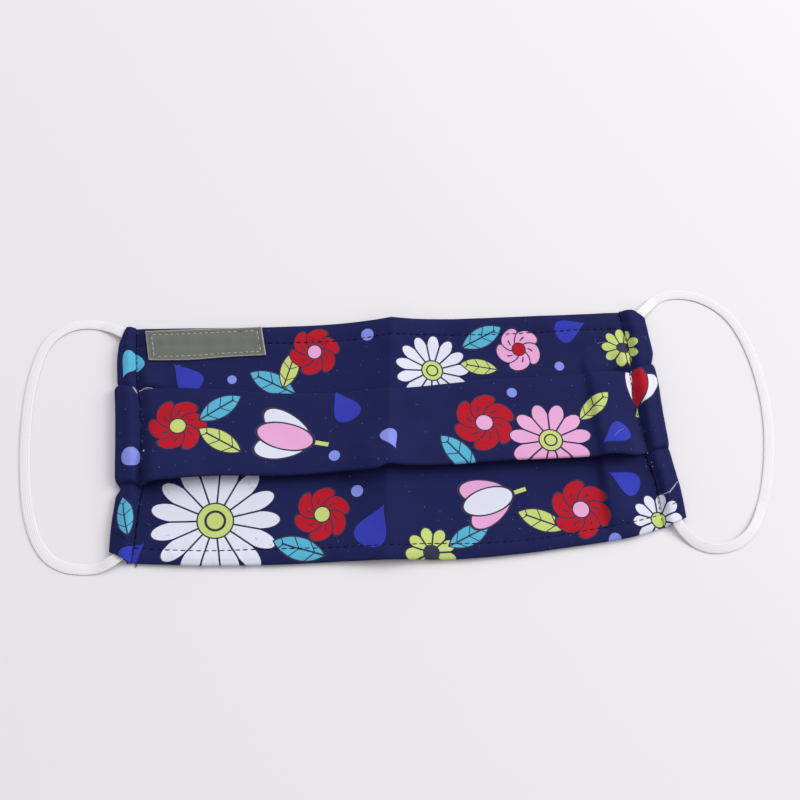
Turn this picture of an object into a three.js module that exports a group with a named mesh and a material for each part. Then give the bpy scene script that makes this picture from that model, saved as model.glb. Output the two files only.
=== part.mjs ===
// Pleated cloth face mask lying face up, with a casing and an elastic ear loop at each side.
// Millimetres. X runs across the mask, Y from its lower edge to its upper edge, Z up from the surface.
// The origin lies under the middle of the cloth, on the surface that the mask lies on.

import * as THREE from 'three';
import { mergeVertices } from 'three/addons/utils/BufferGeometryUtils.js';

// Sizes of the cloth
const maskWidth = 191;       // outer edge of one casing to outer edge of the other
const maskHeight = 88.6;     // upper edge to lower edge at its lowest
const clothWall = 1;         // the cloth with its backing
const layerGap = 0.35;       // air between cloth layers that lie on each other
const topPanel = 25.6;       // upper edge to the upper fold
const middlePanel = 31.5;    // upper fold to the lower fold
const pleatDepth = 10.5;     // each pleat's hidden fold, measured behind the fold that shows
const topHem = 7.4;          // width turned to the back along the upper edge
const bottomHem = 5.2;       // width turned to the back along the lower edge

// How the cloth lies
const edgeDip = 1.2;         // most that the upper edge dips
const edgeBow = 9.2;         // drop of the lower edge from its corners to its lowest place
const foldSway = 2.5;        // most that either fold wanders
const pleatOpening = 2.2;    // most that the lower fold stands open
const creaseHeight = 3.4;    // ridge left by folding the mask in half
const creaseReach = 25;      // cloth on each side that the ridge lifts
const creasePlace = -3.2;    // middle of the ridge, left of the middle of the mask
const creaseLean = 4.2;      // how far each end of the ridge lies from its middle

// Side casings
const casingWidth = 8;       // outer edge to the stitch line
const casingHeight = 4;      // over the channel
const casingEdge = 2.8;      // thickness at the stitch line
const casingPuff = 1.1;      // most that a lobe stands over that
const casingSway = 1.6;      // most that the outer edge wanders inwards
const stitchSway = 2.4;      // most that the stitch line wanders from its straight place
const stitchMargin = 1.9;    // stitch line to the channel
const seamGap = 0.4;         // panel to casing, and label to panel
const topCorner = 5;         // length cut off the casing's outer corner at the upper mouth
const bottomCorner = 4;      // and at the lower mouth
const cornerStart = 2.6;     // stitch line to where those cuts start

// Woven label
const labelLength = 41;
const labelHeight = 10.9;
const labelWall = 0.7;
const labelInset = 2;        // upper edge of the mask to the label
const labelFromSeam = 1.6;   // stitch line to the label

// Elastic
const elasticWidth = 3.5;
const elasticWall = 1.1;
const elasticSteps = 46;

// Mesh counts
const columnCount = 26;
const turnSteps = 3;
const casingRows = 26;

const layerPitch = clothWall + layerGap;
const halfHeight = maskHeight / 2;
const seamX = maskWidth / 2 - casingWidth;
const halfPanel = seamX - seamGap;

// The cloth from seam to seam. across is a share of half the mask's width, the four edges are shares
// of edgeDip, foldSway, foldSway and edgeBow, and opening is a share of pleatOpening.
const panelColumns = [
  { across: -1.0, top: 0.2, upper: 0.7, lower: -0.7, bottom: 0.0, opening: 0.4 },
  { across: -0.93, top: 0.0, upper: 0.75, lower: -0.6, bottom: 0.42, opening: 0.5 },
  { across: -0.86, top: 0.3, upper: 0.85, lower: -0.2, bottom: 0.52, opening: 1.0 },
  { across: -0.65, top: 0.3, upper: 0.0, lower: 0.2, bottom: 0.7, opening: 0.6 },
  { across: -0.35, top: 0.9, upper: -0.8, lower: -0.3, bottom: 0.82, opening: 0.5 },
  { across: -0.17, top: 0.6, upper: -1.0, lower: -0.25, bottom: 0.84, opening: 0.45 },
  { across: 0.0, top: 0.2, upper: -1.1, lower: -0.2, bottom: 0.9, opening: 0.35 },
  { across: 0.23, top: 0.3, upper: -0.3, lower: 0.1, bottom: 1.0, opening: 0.6 },
  { across: 0.42, top: 0.4, upper: 0.1, lower: 0.25, bottom: 0.94, opening: 0.7 },
  { across: 0.6, top: 0.4, upper: 0.15, lower: 0.15, bottom: 0.79, opening: 0.8 },
  { across: 0.78, top: 0.3, upper: 0.0, lower: 0.1, bottom: 0.6, opening: 1.0 },
  { across: 0.88, top: 0.1, upper: 0.0, lower: 0.0, bottom: 0.38, opening: 0.9 },
  { across: 0.93, top: 0.0, upper: 0.0, lower: 0.1, bottom: 0.22, opening: 0.5 },
  { across: 1.0, top: 0.0, upper: 0.1, lower: 0.2, bottom: 0.0, opening: 0.4 },
];

// Each casing from its lower end to its upper end. along is a share of its length, puff of casingPuff,
// sway of casingSway and stitch of stitchSway, outwards: three lobes, with a nip where each fold of the
// panel runs into the seam.
const leftLobes = [
  { along: 0.0, puff: -0.1, sway: 0.0, stitch: 0.4 },
  { along: 0.1, puff: 0.25, sway: 0.3, stitch: -0.1 },
  { along: 0.2, puff: 0.1, sway: 0.9, stitch: -0.4 },
  { along: 0.245, puff: -0.55, sway: 1.0, stitch: -0.5 },
  { along: 0.285, puff: 0.75, sway: 0.75, stitch: -0.55 },
  { along: 0.45, puff: 1.0, sway: 0.6, stitch: -0.5 },
  { along: 0.65, puff: 0.8, sway: 0.25, stitch: -0.1 },
  { along: 0.715, puff: 0.5, sway: 0.0, stitch: 0.25 },
  { along: 0.745, puff: -0.4, sway: 0.5, stitch: 0.45 },
  { along: 0.8, puff: 0.2, sway: 0.45, stitch: 0.6 },
  { along: 0.9, puff: 0.3, sway: 0.3, stitch: 0.7 },
  { along: 1.0, puff: -0.2, sway: 0.5, stitch: 0.7 },
];
const rightLobes = [
  { along: 0.0, puff: -0.1, sway: 0.0, stitch: 0.0 },
  { along: 0.1, puff: 0.3, sway: 0.1, stitch: 0.1 },
  { along: 0.2, puff: 0.2, sway: 0.6, stitch: 0.0 },
  { along: 0.27, puff: -0.5, sway: 0.9, stitch: -0.4 },
  { along: 0.31, puff: 0.7, sway: 0.95, stitch: -0.65 },
  { along: 0.45, puff: 1.0, sway: 1.0, stitch: -0.9 },
  { along: 0.62, puff: 0.9, sway: 0.8, stitch: -1.0 },
  { along: 0.7, puff: 0.5, sway: 0.9, stitch: -0.9 },
  { along: 0.735, puff: -0.4, sway: 1.1, stitch: -0.6 },
  { along: 0.79, puff: 0.3, sway: 0.6, stitch: -0.4 },
  { along: 0.9, puff: 0.3, sway: 0.8, stitch: -0.6 },
  { along: 1.0, puff: -0.2, sway: 0.9, stitch: -1.0 },
];

// Routes of the elastic, from inside the upper mouth of the casing to inside the lower one.
const leftLoopRoute = [
  [-91.6, 41.2, 2],
  [-93.4, 42.8, 2],
  [-97.2, 45.2, 1.3],
  [-101.8, 47.0, 0.6],
  [-106.1, 47.6, 0.55],
  [-110.6, 47.2, 0.55],
  [-114.9, 45.4, 0.55],
  [-118.4, 42.5, 0.55],
  [-120.8, 38.7, 0.55],
  [-122.4, 33.8, 0.55],
  [-123.8, 27.0, 0.55],
  [-124.7, 18.6, 0.55],
  [-125.0, 9.6, 0.55],
  [-124.8, 0.8, 0.55],
  [-124.2, -7.6, 0.55],
  [-123.1, -16.3, 0.55],
  [-121.3, -24.1, 0.55],
  [-118.6, -31.0, 0.55],
  [-114.9, -36.0, 0.55],
  [-110.2, -39.0, 0.55],
  [-104.8, -40.2, 0.55],
  [-99.8, -40.2, 0.8],
  [-96.0, -39.0, 1.6],
  [-93.2, -37.3, 2],
  [-91.3, -36.0, 2],
];
const rightLoopRoute = [
  [90.8, 41.3, 2],
  [92.7, 42.9, 2],
  [96.3, 46.0, 1.3],
  [100.2, 49.2, 0.6],
  [105.1, 50.9, 0.55],
  [110.6, 50.9, 0.55],
  [116.6, 49.3, 0.55],
  [122.5, 45.6, 0.55],
  [127.1, 40.2, 0.55],
  [130.2, 33.0, 0.55],
  [132.2, 24.2, 0.55],
  [133.1, 14.6, 0.55],
  [133.0, 4.3, 0.55],
  [131.6, -6.6, 0.55],
  [129.0, -17.4, 0.55],
  [125.7, -27.0, 0.55],
  [121.8, -35.0, 0.55],
  [117.8, -40.4, 0.55],
  [113.0, -43.9, 0.55],
  [107.6, -45.5, 0.55],
  [102.2, -45.3, 0.6],
  [97.8, -43.3, 1.0],
  [94.6, -40.0, 1.7],
  [92.8, -36.9, 2],
  [91.8, -34.9, 2],
];

const printedCloth = { color: 0x20244f, roughness: 0.86, metalness: 0 };
const wovenLabel = { color: 0x6c7068, roughness: 0.8, metalness: 0 };
const whiteElastic = { color: 0xeceaec, roughness: 0.9, metalness: 0 };

// Value of a column at a place between the rows of a table, eased so that the surface stays smooth.
function between(rows, key, place, column) {
  const next = rows.findIndex((row) => row[key] >= place);
  if (next <= 0) return next === 0 ? rows[0][column] : rows[rows.length - 1][column];
  const before = rows[next - 1];
  const after = rows[next];
  const share = (place - before[key]) / (after[key] - before[key]);
  return THREE.MathUtils.lerp(before[column], after[column], THREE.MathUtils.smoothstep(share, 0, 1));
}

// Places of the four edges of the cloth, and how far the lower fold stands open, at one place across.
function edgesAt(x) {
  const share = x / (maskWidth / 2);
  const column = (name) => between(panelColumns, 'across', share, name);
  const upperFold = halfHeight - topPanel;
  return {
    top: halfHeight - edgeDip * column('top'),
    upper: upperFold + foldSway * column('upper'),
    lower: upperFold - middlePanel + foldSway * column('lower'),
    bottom: -halfHeight + edgeBow * (1 - column('bottom')),
    opening: pleatOpening * column('opening'),
  };
}

// Where the stitch line of one side runs, at one share of its length.
function stitchX(side, along) {
  const lobes = side < 0 ? leftLobes : rightLobes;
  return seamX + stitchSway * between(lobes, 'along', along, 'stitch');
}

// Middle of the cloth's wall in the layer of that number above the surface.
function layer(number) {
  return clothWall / 2 + number * layerPitch;
}

// Line of the crease, which leans a little across the mask.
function creaseX(y) {
  return creasePlace + creaseLean * (y / halfHeight);
}

// Height that the crease lifts the cloth by.
function lift(x, y) {
  const away = Math.abs(x - creaseX(y)) / creaseReach;
  return away < 1 ? creaseHeight * (1 - away) ** 2 : 0;
}

// A flat stretch of cloth from one place to another, in steps. Its face looks up where it runs to -Y.
function addRun(path, from, to, steps, bow = 0) {
  for (let step = 1; step <= steps; step += 1) {
    const share = step / steps;
    path.push({
      y: THREE.MathUtils.lerp(from.y, to.y, share),
      z: THREE.MathUtils.lerp(from.z, to.z, THREE.MathUtils.smoothstep(share, 0, 1))
        + bow * Math.sin(Math.PI * share),
      faceY: 0,
      faceZ: -Math.sign(to.y - from.y),
    });
  }
}

// A half turn of the cloth from one layer to another, bulging to +Y or to -Y.
function addTurn(path, y, fromZ, toZ, bulge) {
  const radius = Math.abs(toZ - fromZ) / 2;
  const rise = Math.sign(toZ - fromZ);
  for (let step = 0; step <= turnSteps; step += 1) {
    const angle = Math.PI * (step / turnSteps - 0.5);
    path.push({
      y: y + bulge * radius * Math.cos(angle),
      z: (fromZ + toZ) / 2 + rise * radius * Math.sin(angle),
      faceY: rise * Math.cos(angle),
      faceZ: bulge * Math.sin(angle),
    });
  }
}

// The cloth's way from the raw edge of the upper hem to that of the lower one, at one place across.
function clothPath(x) {
  const edges = edgesAt(x);
  const inTurn = (clothWall + layerPitch) / 2;
  const openTop = layer(2) + edges.opening;
  const openUnder = layer(1) + edges.opening;
  const topTurn = { y: edges.top - inTurn, z: layer(1) };
  const topHemEnd = { y: edges.top - topHem, z: layer(1) };
  const upperHidden = { y: edges.upper - pleatDepth, z: layer(0) };
  const upperTurn = { y: edges.upper - inTurn, z: layer(2) };
  const lowerTurn = { y: edges.lower + inTurn, z: openTop };
  const lowerUnder = { y: edges.lower + inTurn, z: openUnder };
  const lowerBack = { y: edges.lower + pleatDepth, z: layer(1) };
  const lowerHidden = { y: edges.lower + pleatDepth, z: layer(0) };
  const bottomHemEnd = { y: edges.bottom + bottomHem, z: layer(1) };
  const bottomTurn = { y: edges.bottom + inTurn, z: layer(1) };

  const path = [{ y: topHemEnd.y, z: layer(0), faceY: 0, faceZ: -1 }];
  addTurn(path, topTurn.y, layer(0), layer(1), 1);
  addRun(path, topTurn, topHemEnd, 1);
  addRun(path, topHemEnd, upperHidden, 4);
  path.pop();
  addTurn(path, upperHidden.y, layer(0), layer(1), -1);
  addTurn(path, upperTurn.y, layer(1), layer(2), 1);
  addRun(path, upperTurn, lowerTurn, 5);
  path.pop();
  addTurn(path, lowerTurn.y, openTop, openUnder, -1);
  addRun(path, lowerUnder, lowerBack, 3);
  path.pop();
  addTurn(path, lowerHidden.y, layer(1), layer(0), 1);
  addRun(path, lowerHidden, bottomHemEnd, 5);
  addRun(path, bottomHemEnd, bottomTurn, 1);
  path.pop();
  addTurn(path, bottomTurn.y, layer(1), layer(0), -1);
  path.push({ y: bottomHemEnd.y, z: layer(0), faceY: 0, faceZ: -1 });
  return path;
}

// One closed surface from a geometry whose corners were moved: shared corners are merged again.
function closed(geometry) {
  geometry.deleteAttribute('normal');
  geometry.deleteAttribute('uv');
  const merged = mergeVertices(geometry, 1e-5);
  merged.computeVertexNormals();
  return merged;
}

function named(name, geometry, finish) {
  const mesh = new THREE.Mesh(geometry, new THREE.MeshStandardMaterial(finish));
  mesh.name = name;
  return mesh;
}

// The front cloth: a flat length of cloth, folded along its path in every column.
function pleatedPanel() {
  const stations = clothPath(0).length;
  const geometry = new THREE.BoxGeometry(1, 1, 1, columnCount, stations - 1, 1);
  const seams = [edgesAt(-seamX), edgesAt(seamX)];
  const columns = [];
  for (let column = 0; column <= columnCount; column += 1) {
    columns.push(clothPath(halfPanel * (2 * column / columnCount - 1)));
  }
  const corners = geometry.attributes.position;
  for (let corner = 0; corner < corners.count; corner += 1) {
    const column = Math.round((corners.getX(corner) + 0.5) * columnCount);
    const station = columns[column][Math.round((0.5 - corners.getY(corner)) * (stations - 1))];
    const side = corners.getZ(corner) * clothWall;
    const across = 2 * column / columnCount - 1;
    const y = station.y + side * station.faceY;
    const seam = across < 0 ? seams[0] : seams[1];
    const along = (y - seam.bottom) / (seam.top - seam.bottom);
    const end = stitchX(across, along) - seamGap;
    const x = end * across + creaseX(y) * (1 - Math.abs(across));
    corners.setXYZ(corner, x, y, station.z + side * station.faceZ + lift(x, y));
  }
  return named('pleated_panel', closed(geometry), printedCloth);
}

// Section of a casing: flat below, full at its outer edge, thin at the stitch line, open inside.
function casingSection() {
  const outline = new THREE.Shape();
  const round = casingHeight / 2;
  outline.moveTo(0, 0);
  outline.lineTo(casingWidth - round, 0);
  outline.absarc(casingWidth - round, round, round, -Math.PI / 2, Math.PI / 2, false);
  outline.lineTo(stitchMargin, casingHeight);
  outline.lineTo(0, casingEdge);
  outline.closePath();
  const channelRound = round - clothWall;
  const channel = new THREE.Path();
  channel.moveTo(stitchMargin, clothWall);
  channel.lineTo(stitchMargin, casingHeight - clothWall);
  channel.lineTo(casingWidth - round, casingHeight - clothWall);
  channel.absarc(casingWidth - round, round, channelRound, Math.PI / 2, -Math.PI / 2, true);
  channel.closePath();
  outline.holes.push(channel);
  return outline;
}

// How much of a corner cut has been reached at a distance out from the stitch line.
function cornerShare(out) {
  return Math.max(0, out - cornerStart) / (casingWidth - cornerStart);
}

// A casing: the cloth turned back round the elastic, with its corners cut at both mouths.
function casing(name, side) {
  const lobes = side < 0 ? leftLobes : rightLobes;
  const geometry = new THREE.ExtrudeGeometry(casingSection(), {
    depth: 1, steps: casingRows, curveSegments: 4, bevelEnabled: false,
  });
  const seam = edgesAt(side * seamX);
  const corners = geometry.attributes.position;
  for (let corner = 0; corner < corners.count; corner += 1) {
    const out = corners.getX(corner);
    const height = corners.getY(corner);
    const along = side < 0 ? corners.getZ(corner) : 1 - corners.getZ(corner);
    const cut = cornerShare(out);
    const low = seam.bottom + bottomCorner * cut;
    const high = seam.top - topCorner * cut;
    const share = out / casingWidth;
    const edge = maskWidth / 2 - casingSway * between(lobes, 'along', along, 'sway');
    const puff = casingPuff * between(lobes, 'along', along, 'puff') / casingHeight;
    corners.setXYZ(
      corner,
      side * THREE.MathUtils.lerp(stitchX(side, along), edge, share),
      THREE.MathUtils.lerp(low, high, along),
      height > clothWall ? height + (height - clothWall) * puff : height,
    );
  }
  return named(name, closed(geometry), printedCloth);
}

// The label lies on the upper panel, close to its left seam.
function label() {
  const geometry = new THREE.BoxGeometry(labelLength, labelHeight, labelWall, 10, 6, 1);
  geometry.translate(
    -halfPanel + labelFromSeam + labelLength / 2,
    halfHeight - labelInset - labelHeight / 2,
    labelWall / 2 + clothWall / 2 + seamGap,
  );
  const corners = geometry.attributes.position;
  for (let corner = 0; corner < corners.count; corner += 1) {
    const x = corners.getX(corner);
    const y = corners.getY(corner);
    const edges = edgesAt(x);
    const hemEnd = edges.top - topHem;
    const run = hemEnd - (edges.upper - pleatDepth);
    const drop = THREE.MathUtils.smoothstep((hemEnd - y) / run, 0, 1);
    const cloth = THREE.MathUtils.lerp(layer(1), layer(0), drop) + lift(x, y);
    corners.setZ(corner, corners.getZ(corner) + cloth);
  }
  return named('label', closed(geometry), wovenLabel);
}

// Flat elastic along its route: eight corners round, thickness upwards and width in the plane.
function earLoop(name, route) {
  const points = route.map(([x, y, z]) => new THREE.Vector3(x, y, z));
  const section = new THREE.Shape();
  const halfWall = elasticWall / 2;
  const halfWidth = elasticWidth / 2;
  const edge = halfWall / 2;
  section.moveTo(-halfWall, -halfWidth + edge);
  section.lineTo(-edge, -halfWidth);
  section.lineTo(edge, -halfWidth);
  section.lineTo(halfWall, -halfWidth + edge);
  section.lineTo(halfWall, halfWidth - edge);
  section.lineTo(edge, halfWidth);
  section.lineTo(-edge, halfWidth);
  section.lineTo(-halfWall, halfWidth - edge);
  section.closePath();
  const geometry = new THREE.ExtrudeGeometry(section, {
    steps: elasticSteps, extrudePath: new THREE.CatmullRomCurve3(points, false, 'centripetal'),
  });
  return named(name, closed(geometry), whiteElastic);
}

const mask = new THREE.Group();
mask.add(
  pleatedPanel(),
  casing('left_casing', -1),
  casing('right_casing', 1),
  label(),
  earLoop('left_ear_loop', leftLoopRoute),
  earLoop('right_ear_loop', rightLoopRoute),
);

export default mask;
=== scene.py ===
"""Looks of a pleated cloth face mask that lies face up, with a casing and an elastic loop at each side.

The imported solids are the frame. Each cloth piece, the label and both ear loops replace their solid by a
finer mesh in the same place. Stitches, thread ends and lint are added on top. Shapes are worked out in
millimetres, in the frame's own axes, and turned into metres where a mesh is made.
"""

import logging
import math
import random
from dataclasses import dataclass
from enum import Enum
from typing import Callable, Optional, Sequence, Union

import bpy
import numpy as np
from mathutils import Matrix, Vector
from mathutils.bvhtree import BVHTree


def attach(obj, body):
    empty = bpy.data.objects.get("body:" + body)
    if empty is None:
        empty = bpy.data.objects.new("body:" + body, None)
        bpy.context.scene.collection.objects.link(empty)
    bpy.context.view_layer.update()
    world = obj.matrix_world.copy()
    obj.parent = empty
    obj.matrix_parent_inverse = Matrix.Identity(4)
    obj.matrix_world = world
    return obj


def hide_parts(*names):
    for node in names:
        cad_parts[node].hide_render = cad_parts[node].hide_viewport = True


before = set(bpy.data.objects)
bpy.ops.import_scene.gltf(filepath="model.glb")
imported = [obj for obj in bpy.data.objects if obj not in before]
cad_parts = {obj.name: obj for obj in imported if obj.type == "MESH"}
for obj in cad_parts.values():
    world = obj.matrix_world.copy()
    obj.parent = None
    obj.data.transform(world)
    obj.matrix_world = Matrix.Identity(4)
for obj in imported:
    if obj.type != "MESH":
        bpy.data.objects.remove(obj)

log = logging.getLogger("mask")
MM = 0.001

Number = Union[float, np.ndarray]
Colour = tuple[float, float, float]


def linear(*levels: int) -> Colour:
    """Turn a screen colour, three levels from 0 to 255, into a linear one."""
    shares = (level / 255 for level in levels)
    return tuple(s / 12.92 if s <= 0.04045 else ((s + 0.055) / 1.055) ** 2.4 for s in shares)


def ease(share: Number) -> Number:
    """Return a share from 0 to 1 with a soft start and end."""
    held = np.clip(share, 0, 1)
    return held * held * (3 - 2 * held)


def bell(distance: Number, width: Number) -> Number:
    """Return 1 at no distance, falling off softly over a width."""
    return np.exp(-(np.asarray(distance) / width) ** 2)


class Side(Enum):
    """The two ends of the mask, as the viewer sees them."""

    LEFT = -1
    RIGHT = 1


class Layer(Enum):
    """The stretches of the folded cloth that show from the front."""

    TOP = "top"
    MIDDLE = "middle"
    LOWER = "lower"


class Table:
    """A short table with named columns, read between its rows along a smooth curve."""

    def __init__(self, names: Sequence[str], rows: Sequence[Sequence[float]]) -> None:
        """Keep the rows by their columns' names. Each row starts with its place, and places rise."""
        values = np.array(rows, float)
        self.places = values[:, 0]
        self.columns = {name: values[:, index + 1] for index, name in enumerate(names)}

    def at(self, name: str, place: Number) -> Number:
        """Read a column at one or many places.

        Args:
            name: The column.
            place: Where to read it.

        Returns:
            The values on a curve through the rows that doesn't overshoot them.
        """
        x, y = self.places, self.columns[name]
        slope = np.diff(y) / np.diff(x)
        before, after = slope[:-1], slope[1:]
        same = before * after > 0
        inner = np.where(same, 2 * before * after / np.where(same, before + after, 1), 0)
        tangent = np.concatenate([[slope[0]], inner, [slope[-1]]])
        place = np.clip(place, x[0], x[-1])
        index = np.clip(np.searchsorted(x, place) - 1, 0, len(x) - 2)
        step = x[index + 1] - x[index]
        t = (place - x[index]) / step
        return (
            (1 + 2 * t) * (1 - t) ** 2 * y[index]
            + t * (1 - t) ** 2 * step * tangent[index]
            + t * t * (3 - 2 * t) * y[index + 1]
            + t * t * (t - 1) * step * tangent[index + 1]
        )


# Place across the mask from -1 to 1, then how far each edge and fold wanders there, and how far the
# lower fold stands open, as shares of the form's own sizes.
COLUMNS = Table(
    ("top", "upper", "lower", "bottom", "opening"),
    (
        (-1.0, -0.4, 0.7, -0.7, 0.0, 0.2),
        (-0.93, -0.45, 0.75, -0.6, 0.42, 0.6),
        (-0.86, -0.2, 0.85, -0.2, 0.52, 1.5),
        (-0.79, -0.03, 0.8, -0.07, 0.58, 1.35),
        (-0.65, 0.3, 0.3, 0.2, 0.7, 0.6),
        (-0.35, 0.9, -0.8, -0.3, 0.82, 0.5),
        (-0.17, 0.6, -1.0, -0.25, 0.84, 0.85),
        (-0.1, 0.44, -1.05, -0.41, 0.865, 1.3),
        (-0.065, 0.35, -1.07, -0.5, 0.875, 1.6),
        (-0.036, 0.28, -1.085, -0.37, 0.885, 1.5),
        (-0.004, 0.21, -1.1, 0.05, 0.9, 1.35),
        (0.02, 0.2, -1.1, 0.08, 0.905, 1.2),
        (0.07, 0.215, -0.96, 0.0, 0.92, 0.95),
        (0.23, 0.3, -0.3, 0.1, 1.0, 0.7),
        (0.42, 0.4, 0.1, 0.25, 0.94, 0.7),
        (0.6, 0.4, 0.15, 0.15, 0.79, 0.8),
        (0.78, 0.3, 0.25, 0.1, 0.6, 1.1),
        (0.85, 0.15, 0.4, -0.15, 0.455, 1.4),
        (0.88, 0.1, 0.42, 0.12, 0.38, 1.0),
        (0.93, 0.0, 0.35, 0.85, 0.22, 0.35),
        (1.0, 0.0, 0.25, 1.0, 0.0, 0.2),
    ),
)
# Place along a seam from its lower end, then how far the casing puffs up, how far its outer edge
# wanders inwards, and how far its stitches wander outwards.
LOBES = {
    Side.LEFT: Table(
        ("puff", "sway", "stitch"),
        (
            (0.0, -0.3, 0.0, 0.6),
            (0.1, 0.25, 0.3, 0.15),
            (0.2, 0.1, 0.9, -0.15),
            (0.245, -0.3, 1.0, -0.35),
            (0.285, 0.35, 0.75, -0.55),
            (0.45, 0.8, 0.6, -0.5),
            (0.65, 0.6, 0.25, -0.1),
            (0.715, 0.2, 0.0, 0.25),
            (0.745, -0.2, 0.5, 0.45),
            (0.8, 0.2, 0.45, 0.6),
            (0.9, 0.3, 0.3, 0.7),
            (1.0, -0.3, 0.5, 0.7),
        ),
    ),
    Side.RIGHT: Table(
        ("puff", "sway", "stitch"),
        (
            (0.0, -0.3, 0.0, 0.0),
            (0.1, 0.3, 0.1, 0.1),
            (0.2, 0.2, 0.6, 0.0),
            (0.27, -0.2, 0.9, -0.4),
            (0.31, 0.3, 0.95, -0.65),
            (0.45, 0.8, 1.0, -0.9),
            (0.62, 0.7, 0.8, -1.0),
            (0.7, 0.2, 0.9, -0.9),
            (0.735, -0.2, 1.1, -0.6),
            (0.79, 0.3, 0.6, -0.4),
            (0.9, 0.3, 0.8, -0.6),
            (1.0, -0.3, 0.9, -1.0),
        ),
    ),
}
# Way in the plane and radius of each pale thread and knot, in millimetres.
PALE_THREADS = (
    (((94.7, -22.1), (93.6, -23.2), (92.3, -24.4), (90.8, -25.8), (89.9, -26.2), (88.7, -26.4)), 0.1),
    (((94.0, -22.6), (93.2, -24.0), (91.8, -25.2), (90.6, -26.5)), 0.06),
    (((87.4, -26.3), (87.1, -27.4)), 0.09),
    (((-87.6, 20.2), (-86.8, 21.0), (-86.0, 21.5), (-84.9, 21.6), (-83.8, 21.5), (-82.4, 21.1)), 0.13),
    (((-87.2, 20.6), (-85.9, 21.3), (-84.6, 21.3), (-83.2, 21.2)), 0.1),
    (((-89.6, 21.6), (-89.2, 21.0), (-88.9, 20.5), (-88.4, 19.8), (-88.0, 19.3)), 0.14),
    (((-89.3, 21.7), (-88.6, 20.6), (-88.2, 20.2)), 0.1),
    (((73.8, -6.3), (75.5, -4.7), (77.5, -3.5)), 0.035),
    (((74.9, 31.6), (76.3, 32.1), (78.1, 32.1)), 0.03),
    (((-85.35, -2.2), (-85.05, -1.95)), 0.3),
    (((86.05, -11.25), (86.2, -11.05)), 0.14),
    (((87.0, -14.6), (87.1, -14.4)), 0.12),
    (((87.1, -16.2), (87.2, -16.0)), 0.1),
)
# Way of each dark thread end at the lower left corner.
DARK_TAILS = (
    (
        (-89.0, -38.4, 0.9), (-89.4, -38.9, 0.8), (-89.9, -39.2, 0.6),
        (-90.3, -38.9, 0.45), (-90.2, -38.4, 0.4),
    ),
    ((-87.7, -39.0, 0.8), (-87.3, -39.6, 0.6), (-87.2, -40.2, 0.4), (-87.6, -40.6, 0.3)),
)
# Where the upper and the lower fold meet the outer edge of a casing.
FOLD_NOTCHES = {Side.LEFT: (22.5, -12.2), Side.RIGHT: (22.5, -9.1)}
# How far a casing's upper and lower corners are cut back, and how far from the stitches each cut starts.
CASING_CORNERS = {Side.LEFT: ((6.6, 4.2), (4.0, 0.5)), Side.RIGHT: ((3.4, 4.2), (3.0, 0.5))}
# How sharply the lower fold turns down across a casing.
FOLD_CURVES = {Side.LEFT: 6.0, Side.RIGHT: 2.7}
# Place below the lower fold, half width and depth of the notch in a casing's outer edge.
LOWER_NOTCHES = {Side.LEFT: (2.2, 1.9, 1.35), Side.RIGHT: (0.4, 1.2, 0.25)}
# The middle line of each ear loop from its upper to its lower mouth.
LEFT_ROUTE = (
    (-91.6, 41.2, 2.0), (-93.4, 42.8, 2.0), (-97.2, 45.2, 1.3), (-101.8, 47.0, 0.6), (-106.1, 47.6, 0.55),
    (-110.6, 47.2, 0.55), (-114.9, 45.4, 0.55), (-118.4, 42.5, 0.55), (-120.8, 38.7, 0.55),
    (-122.4, 33.8, 0.55), (-123.8, 27.0, 0.55), (-124.7, 18.6, 0.55), (-125.0, 9.6, 0.55),
    (-124.8, 0.8, 0.55), (-124.2, -7.6, 0.55), (-123.1, -16.3, 0.55), (-121.3, -24.1, 0.55),
    (-118.6, -31.0, 0.55), (-114.9, -36.0, 0.55), (-110.2, -39.0, 0.55), (-104.8, -40.2, 0.55),
    (-99.8, -40.2, 0.8), (-96.0, -39.0, 1.6), (-93.2, -37.3, 2.0), (-91.3, -36.0, 2.0),
)
RIGHT_ROUTE = (
    (90.8, 41.3, 2.0), (92.7, 42.9, 2.0), (96.3, 46.0, 1.3), (100.2, 49.2, 0.6), (105.1, 50.9, 0.55),
    (110.6, 50.9, 0.55), (116.6, 49.3, 0.55), (122.5, 45.6, 0.55), (127.1, 40.2, 0.55),
    (130.2, 33.0, 0.55), (132.2, 24.2, 0.55), (133.1, 14.6, 0.55), (133.0, 4.3, 0.55),
    (131.6, -6.6, 0.55), (129.0, -17.4, 0.55), (125.7, -27.0, 0.55), (121.8, -35.0, 0.55),
    (117.8, -40.4, 0.55), (113.0, -43.9, 0.55), (107.6, -45.5, 0.55), (102.2, -45.3, 0.6),
    (97.8, -43.3, 1.0), (94.6, -40.0, 1.7), (92.8, -36.9, 2.0), (91.8, -34.9, 2.0),
)

# Share of a loop's length, then how far the band leans over there, in degrees.
LEFT_TILTS = Table(("tilt",), ((0.0, 0.0), (0.5, 4.0), (1.0, 0.0)))
RIGHT_TILTS = Table(
    ("tilt",),
    ((0.0, 0.0), (0.2, 5.0), (0.6, 2.0), (0.7, 2.0), (0.8, -12.0), (0.92, -14.0), (1.0, -4.0)),
)
# Pitch and length of the finer stitches.
FINE_STITCH = (2.0, 1.5)


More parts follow.
